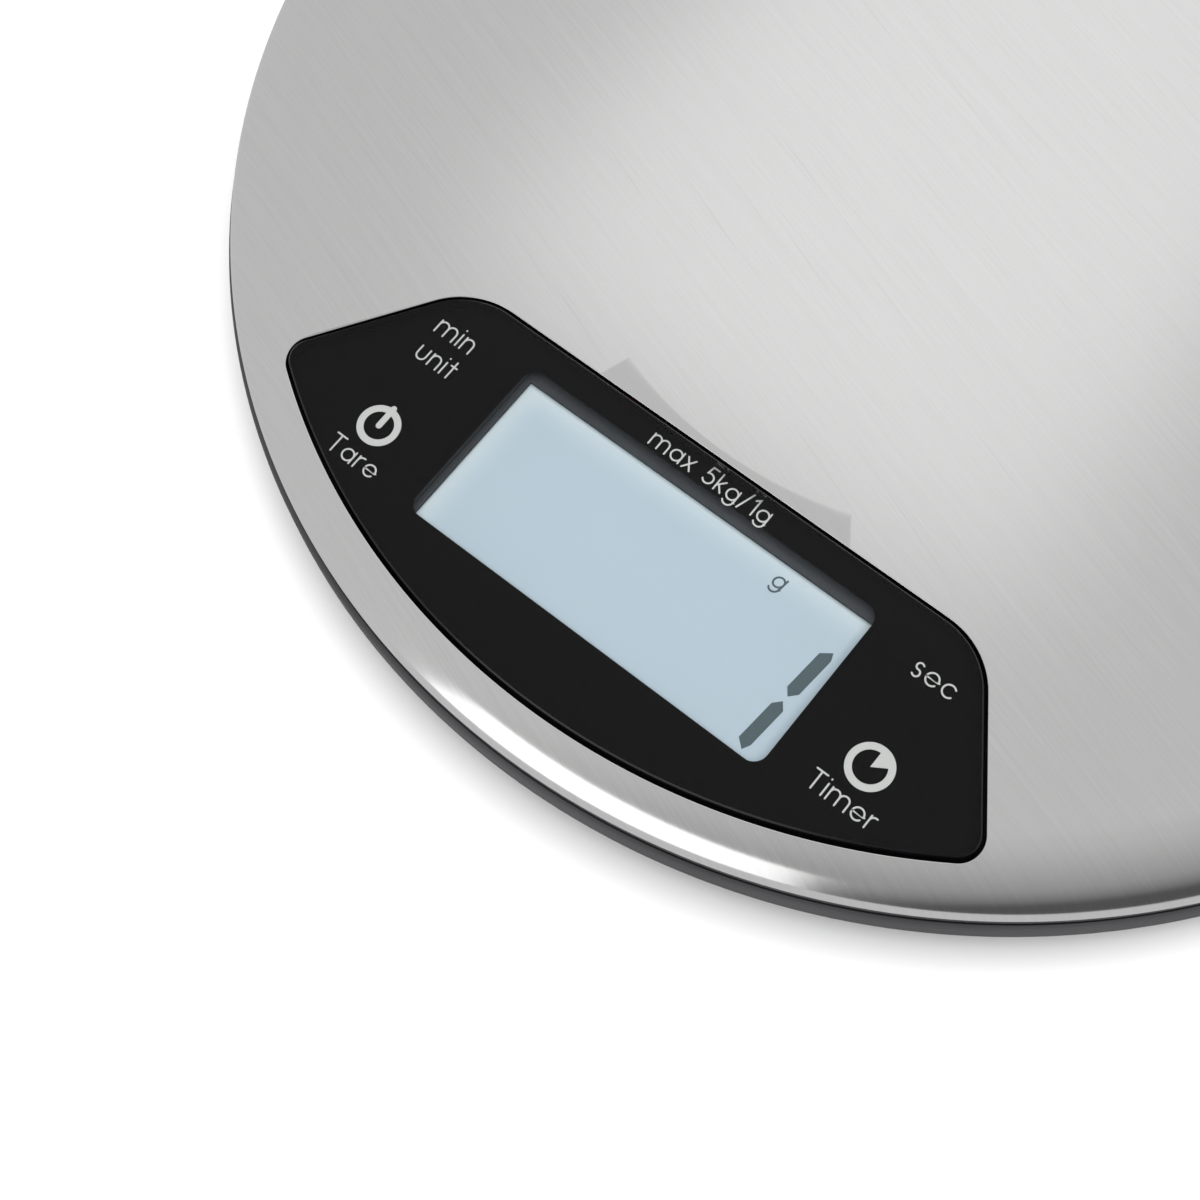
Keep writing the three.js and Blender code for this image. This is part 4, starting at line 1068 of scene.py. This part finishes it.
CARRIED_OVER = {
    "load_cell_seal_top": SEAL,
    "load_cell_seal_bottom": SEAL,
    "coin_cell": NICKEL,
    "battery_contact_negative": SPRING_METAL,
    "battery_contact_positive": SPRING_METAL,
    "load_cell_cable": GREY_SLEEVE,
    "battery_lead_negative": BLACK_SLEEVE,
    "battery_lead_positive": RED_SLEEVE,
    "lens_gasket": FOAM,
    "platform_tape": FOAM,
    "elastomer_strip_front": RUBBER,
    "elastomer_strip_rear": RUBBER,
    "main_pcb": BOARD,
    "processor_cover": BLACK_PLASTIC,
    "converter_chip": BLACK_PLASTIC,
    "clock_crystal": NICKEL,
    "smoothing_capacitor": BLACK_PLASTIC,
    "piezo_buzzer": BLACK_PLASTIC,
    "touch_spring_unit": SPRING_METAL,
    "touch_spring_tare": SPRING_METAL,
    "touch_spring_second": SPRING_METAL,
    "touch_spring_timer": SPRING_METAL,
    "load_cell_spacer": ZINC,
}
for node, material in CARRIED_OVER.items():
    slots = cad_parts[node].data.materials
    slots.clear()
    slots.append(material)


# ------------------------------------------------------------------ stage, light and camera


def floor():
    """A plain pale floor, large enough to fill every view."""
    half = 4.0
    bm = bmesh.new()
    corners = ((-half, -half), (half, -half), (half, half), (-half, half))
    bm.faces.new([bm.verts.new((x, y, 0)) for x, y in corners])
    made = finished("floor", bm)
    pale = Shader("floor_pale", roughness=0.9, specular_ior_level=0.0)
    cloud = pale.noise(3.0, 2.0)
    pale.link(pale.ramp(cloud, (0.3, 0.74), (0.7, 0.75)), pale.surface.inputs["Base Color"])
    made.data.materials.append(pale.material)
    made.visible_glossy = False


class Sky(Shader):
    """The studio around the object, as brightness by direction."""

    def __init__(self):
        world = bpy.data.worlds.new("studio")
        bpy.context.scene.world = world
        world.use_nodes = True
        self.tree = world.node_tree
        self.background = self.tree.nodes["Background"]
        self.direction = self.node("ShaderNodeTexCoord").outputs["Generated"]
        split = self.node("ShaderNodeSeparateXYZ")
        self.link(self.direction, split.inputs[0])
        self.x, self.y, self.z = split.outputs

    def step(self, value, start, end):
        """0 before start and 1 after end, smoothly."""
        made = self.node("ShaderNodeMapRange", interpolation_type="SMOOTHSTEP")
        made.inputs["From Min"].default_value = start
        made.inputs["From Max"].default_value = end
        self.link(value, made.inputs["Value"])
        return made.outputs["Result"]

    def panel(self, across, up, away, span, soft):
        """A soft rectangle on a plane at distance 1: (left, right, low, high)."""
        ahead = self.math("MAXIMUM", away, 0.02)
        u = self.math("DIVIDE", across, ahead)
        v = self.math("DIVIDE", up, ahead)
        left, right, low, high = span
        mask = self.step(u, left - soft, left + soft)
        mask = self.math("MULTIPLY", mask, self.step(u, right + soft, right - soft))
        mask = self.math("MULTIPLY", mask, self.step(v, low - soft, low + soft))
        mask = self.math("MULTIPLY", mask, self.step(v, high + soft, high - soft))
        return self.math("MULTIPLY", mask, self.step(away, 0.0, 0.05))


def studio():
    """An even light room, a panel overhead, a bright panel in front and a dark corner at the right."""
    sky = Sky()
    dark_side = sky.node("ShaderNodeVectorMath", operation="DOT_PRODUCT")
    sky.link(sky.direction, dark_side.inputs[0])
    azimuth, elevation = math.radians(-30), math.radians(5)
    dark_side.inputs[1].default_value = (
        math.cos(elevation) * math.cos(azimuth),
        math.cos(elevation) * math.sin(azimuth),
        math.sin(elevation),
    )
    room_levels = ((0.05, 0.58), (0.42, 0.43), (0.66, 0.33), (0.82, 0.20), (0.91, 0.09))
    overhead_level, front_level, below_level = 0.305, 1.0, 0.58
    horizon = 0.02
    room = sky.ramp(dark_side.outputs["Value"], *room_levels)
    overhead = sky.panel(sky.x, sky.y, sky.z, (-0.48, -0.12, 0.365, 1.5), 0.045)
    front = sky.panel(sky.x, sky.z, sky.math("MULTIPLY", sky.y, -1), (-0.466, 0.404, 0.0, 1.02), 0.04)
    level = sky.math("ADD", room, sky.math("MULTIPLY", overhead, overhead_level))
    level = sky.math("ADD", level, sky.math("MULTIPLY", front, front_level))
    below = sky.step(sky.z, horizon, -horizon)
    above = sky.step(sky.z, -horizon, horizon)
    level = sky.math("MULTIPLY", level, above)
    level = sky.math("ADD", level, sky.math("MULTIPLY", below, below_level))
    sky.link(level, sky.background.inputs["Strength"])
    sky.background.inputs["Color"].default_value = (1, 1, 1, 1)


def key_light():
    """A wide lamp overhead that lights the floor and the matt surfaces."""
    lamp = bpy.data.lights.new("key", "AREA")
    lamp.shape = "SQUARE"
    lamp.size = 1.4
    lamp.energy = 26
    made = bpy.data.objects.new("key", lamp)
    made.location = (0.12, 0.02, 1.2)
    aim = -made.location
    made.rotation_euler = aim.to_track_quat("-Z", "Y").to_euler()
    made.visible_glossy = False
    bpy.context.scene.collection.objects.link(made)


def camera():
    """A close view from above the front right, rolled a little."""
    azimuth, elevation, roll = math.radians(48.10), math.radians(68.87), math.radians(-9.71)
    target = Vector((-2.234, -86.38, RIM_BOTTOM)) * MM
    distance = 290.62 * MM
    back = Vector(
        (
            math.sin(azimuth) * math.cos(elevation),
            -math.cos(azimuth) * math.cos(elevation),
            math.sin(elevation),
        )
    )
    right = (-back).cross(Vector((0, 0, 1))).normalized()
    up = right.cross(-back)
    turned_right = right * math.cos(roll) + up * math.sin(roll)
    turned_up = up * math.cos(roll) - right * math.sin(roll)
    lens_data = bpy.data.cameras.new("camera")
    lens_data.sensor_width = 36
    lens_data.lens = 61.91
    lens_data.clip_start = 0.01
    made = bpy.data.objects.new("camera", lens_data)
    axes = Matrix((turned_right, turned_up, back)).transposed().to_4x4()
    made.matrix_world = Matrix.Translation(target + back * distance) @ axes
    bpy.context.scene.collection.objects.link(made)
    bpy.context.scene.camera = made


floor()
studio()
key_light()
camera()
view = bpy.context.scene.view_settings
view.view_transform = "Standard"
view.look = "None"

bpy.context.view_layer.update()
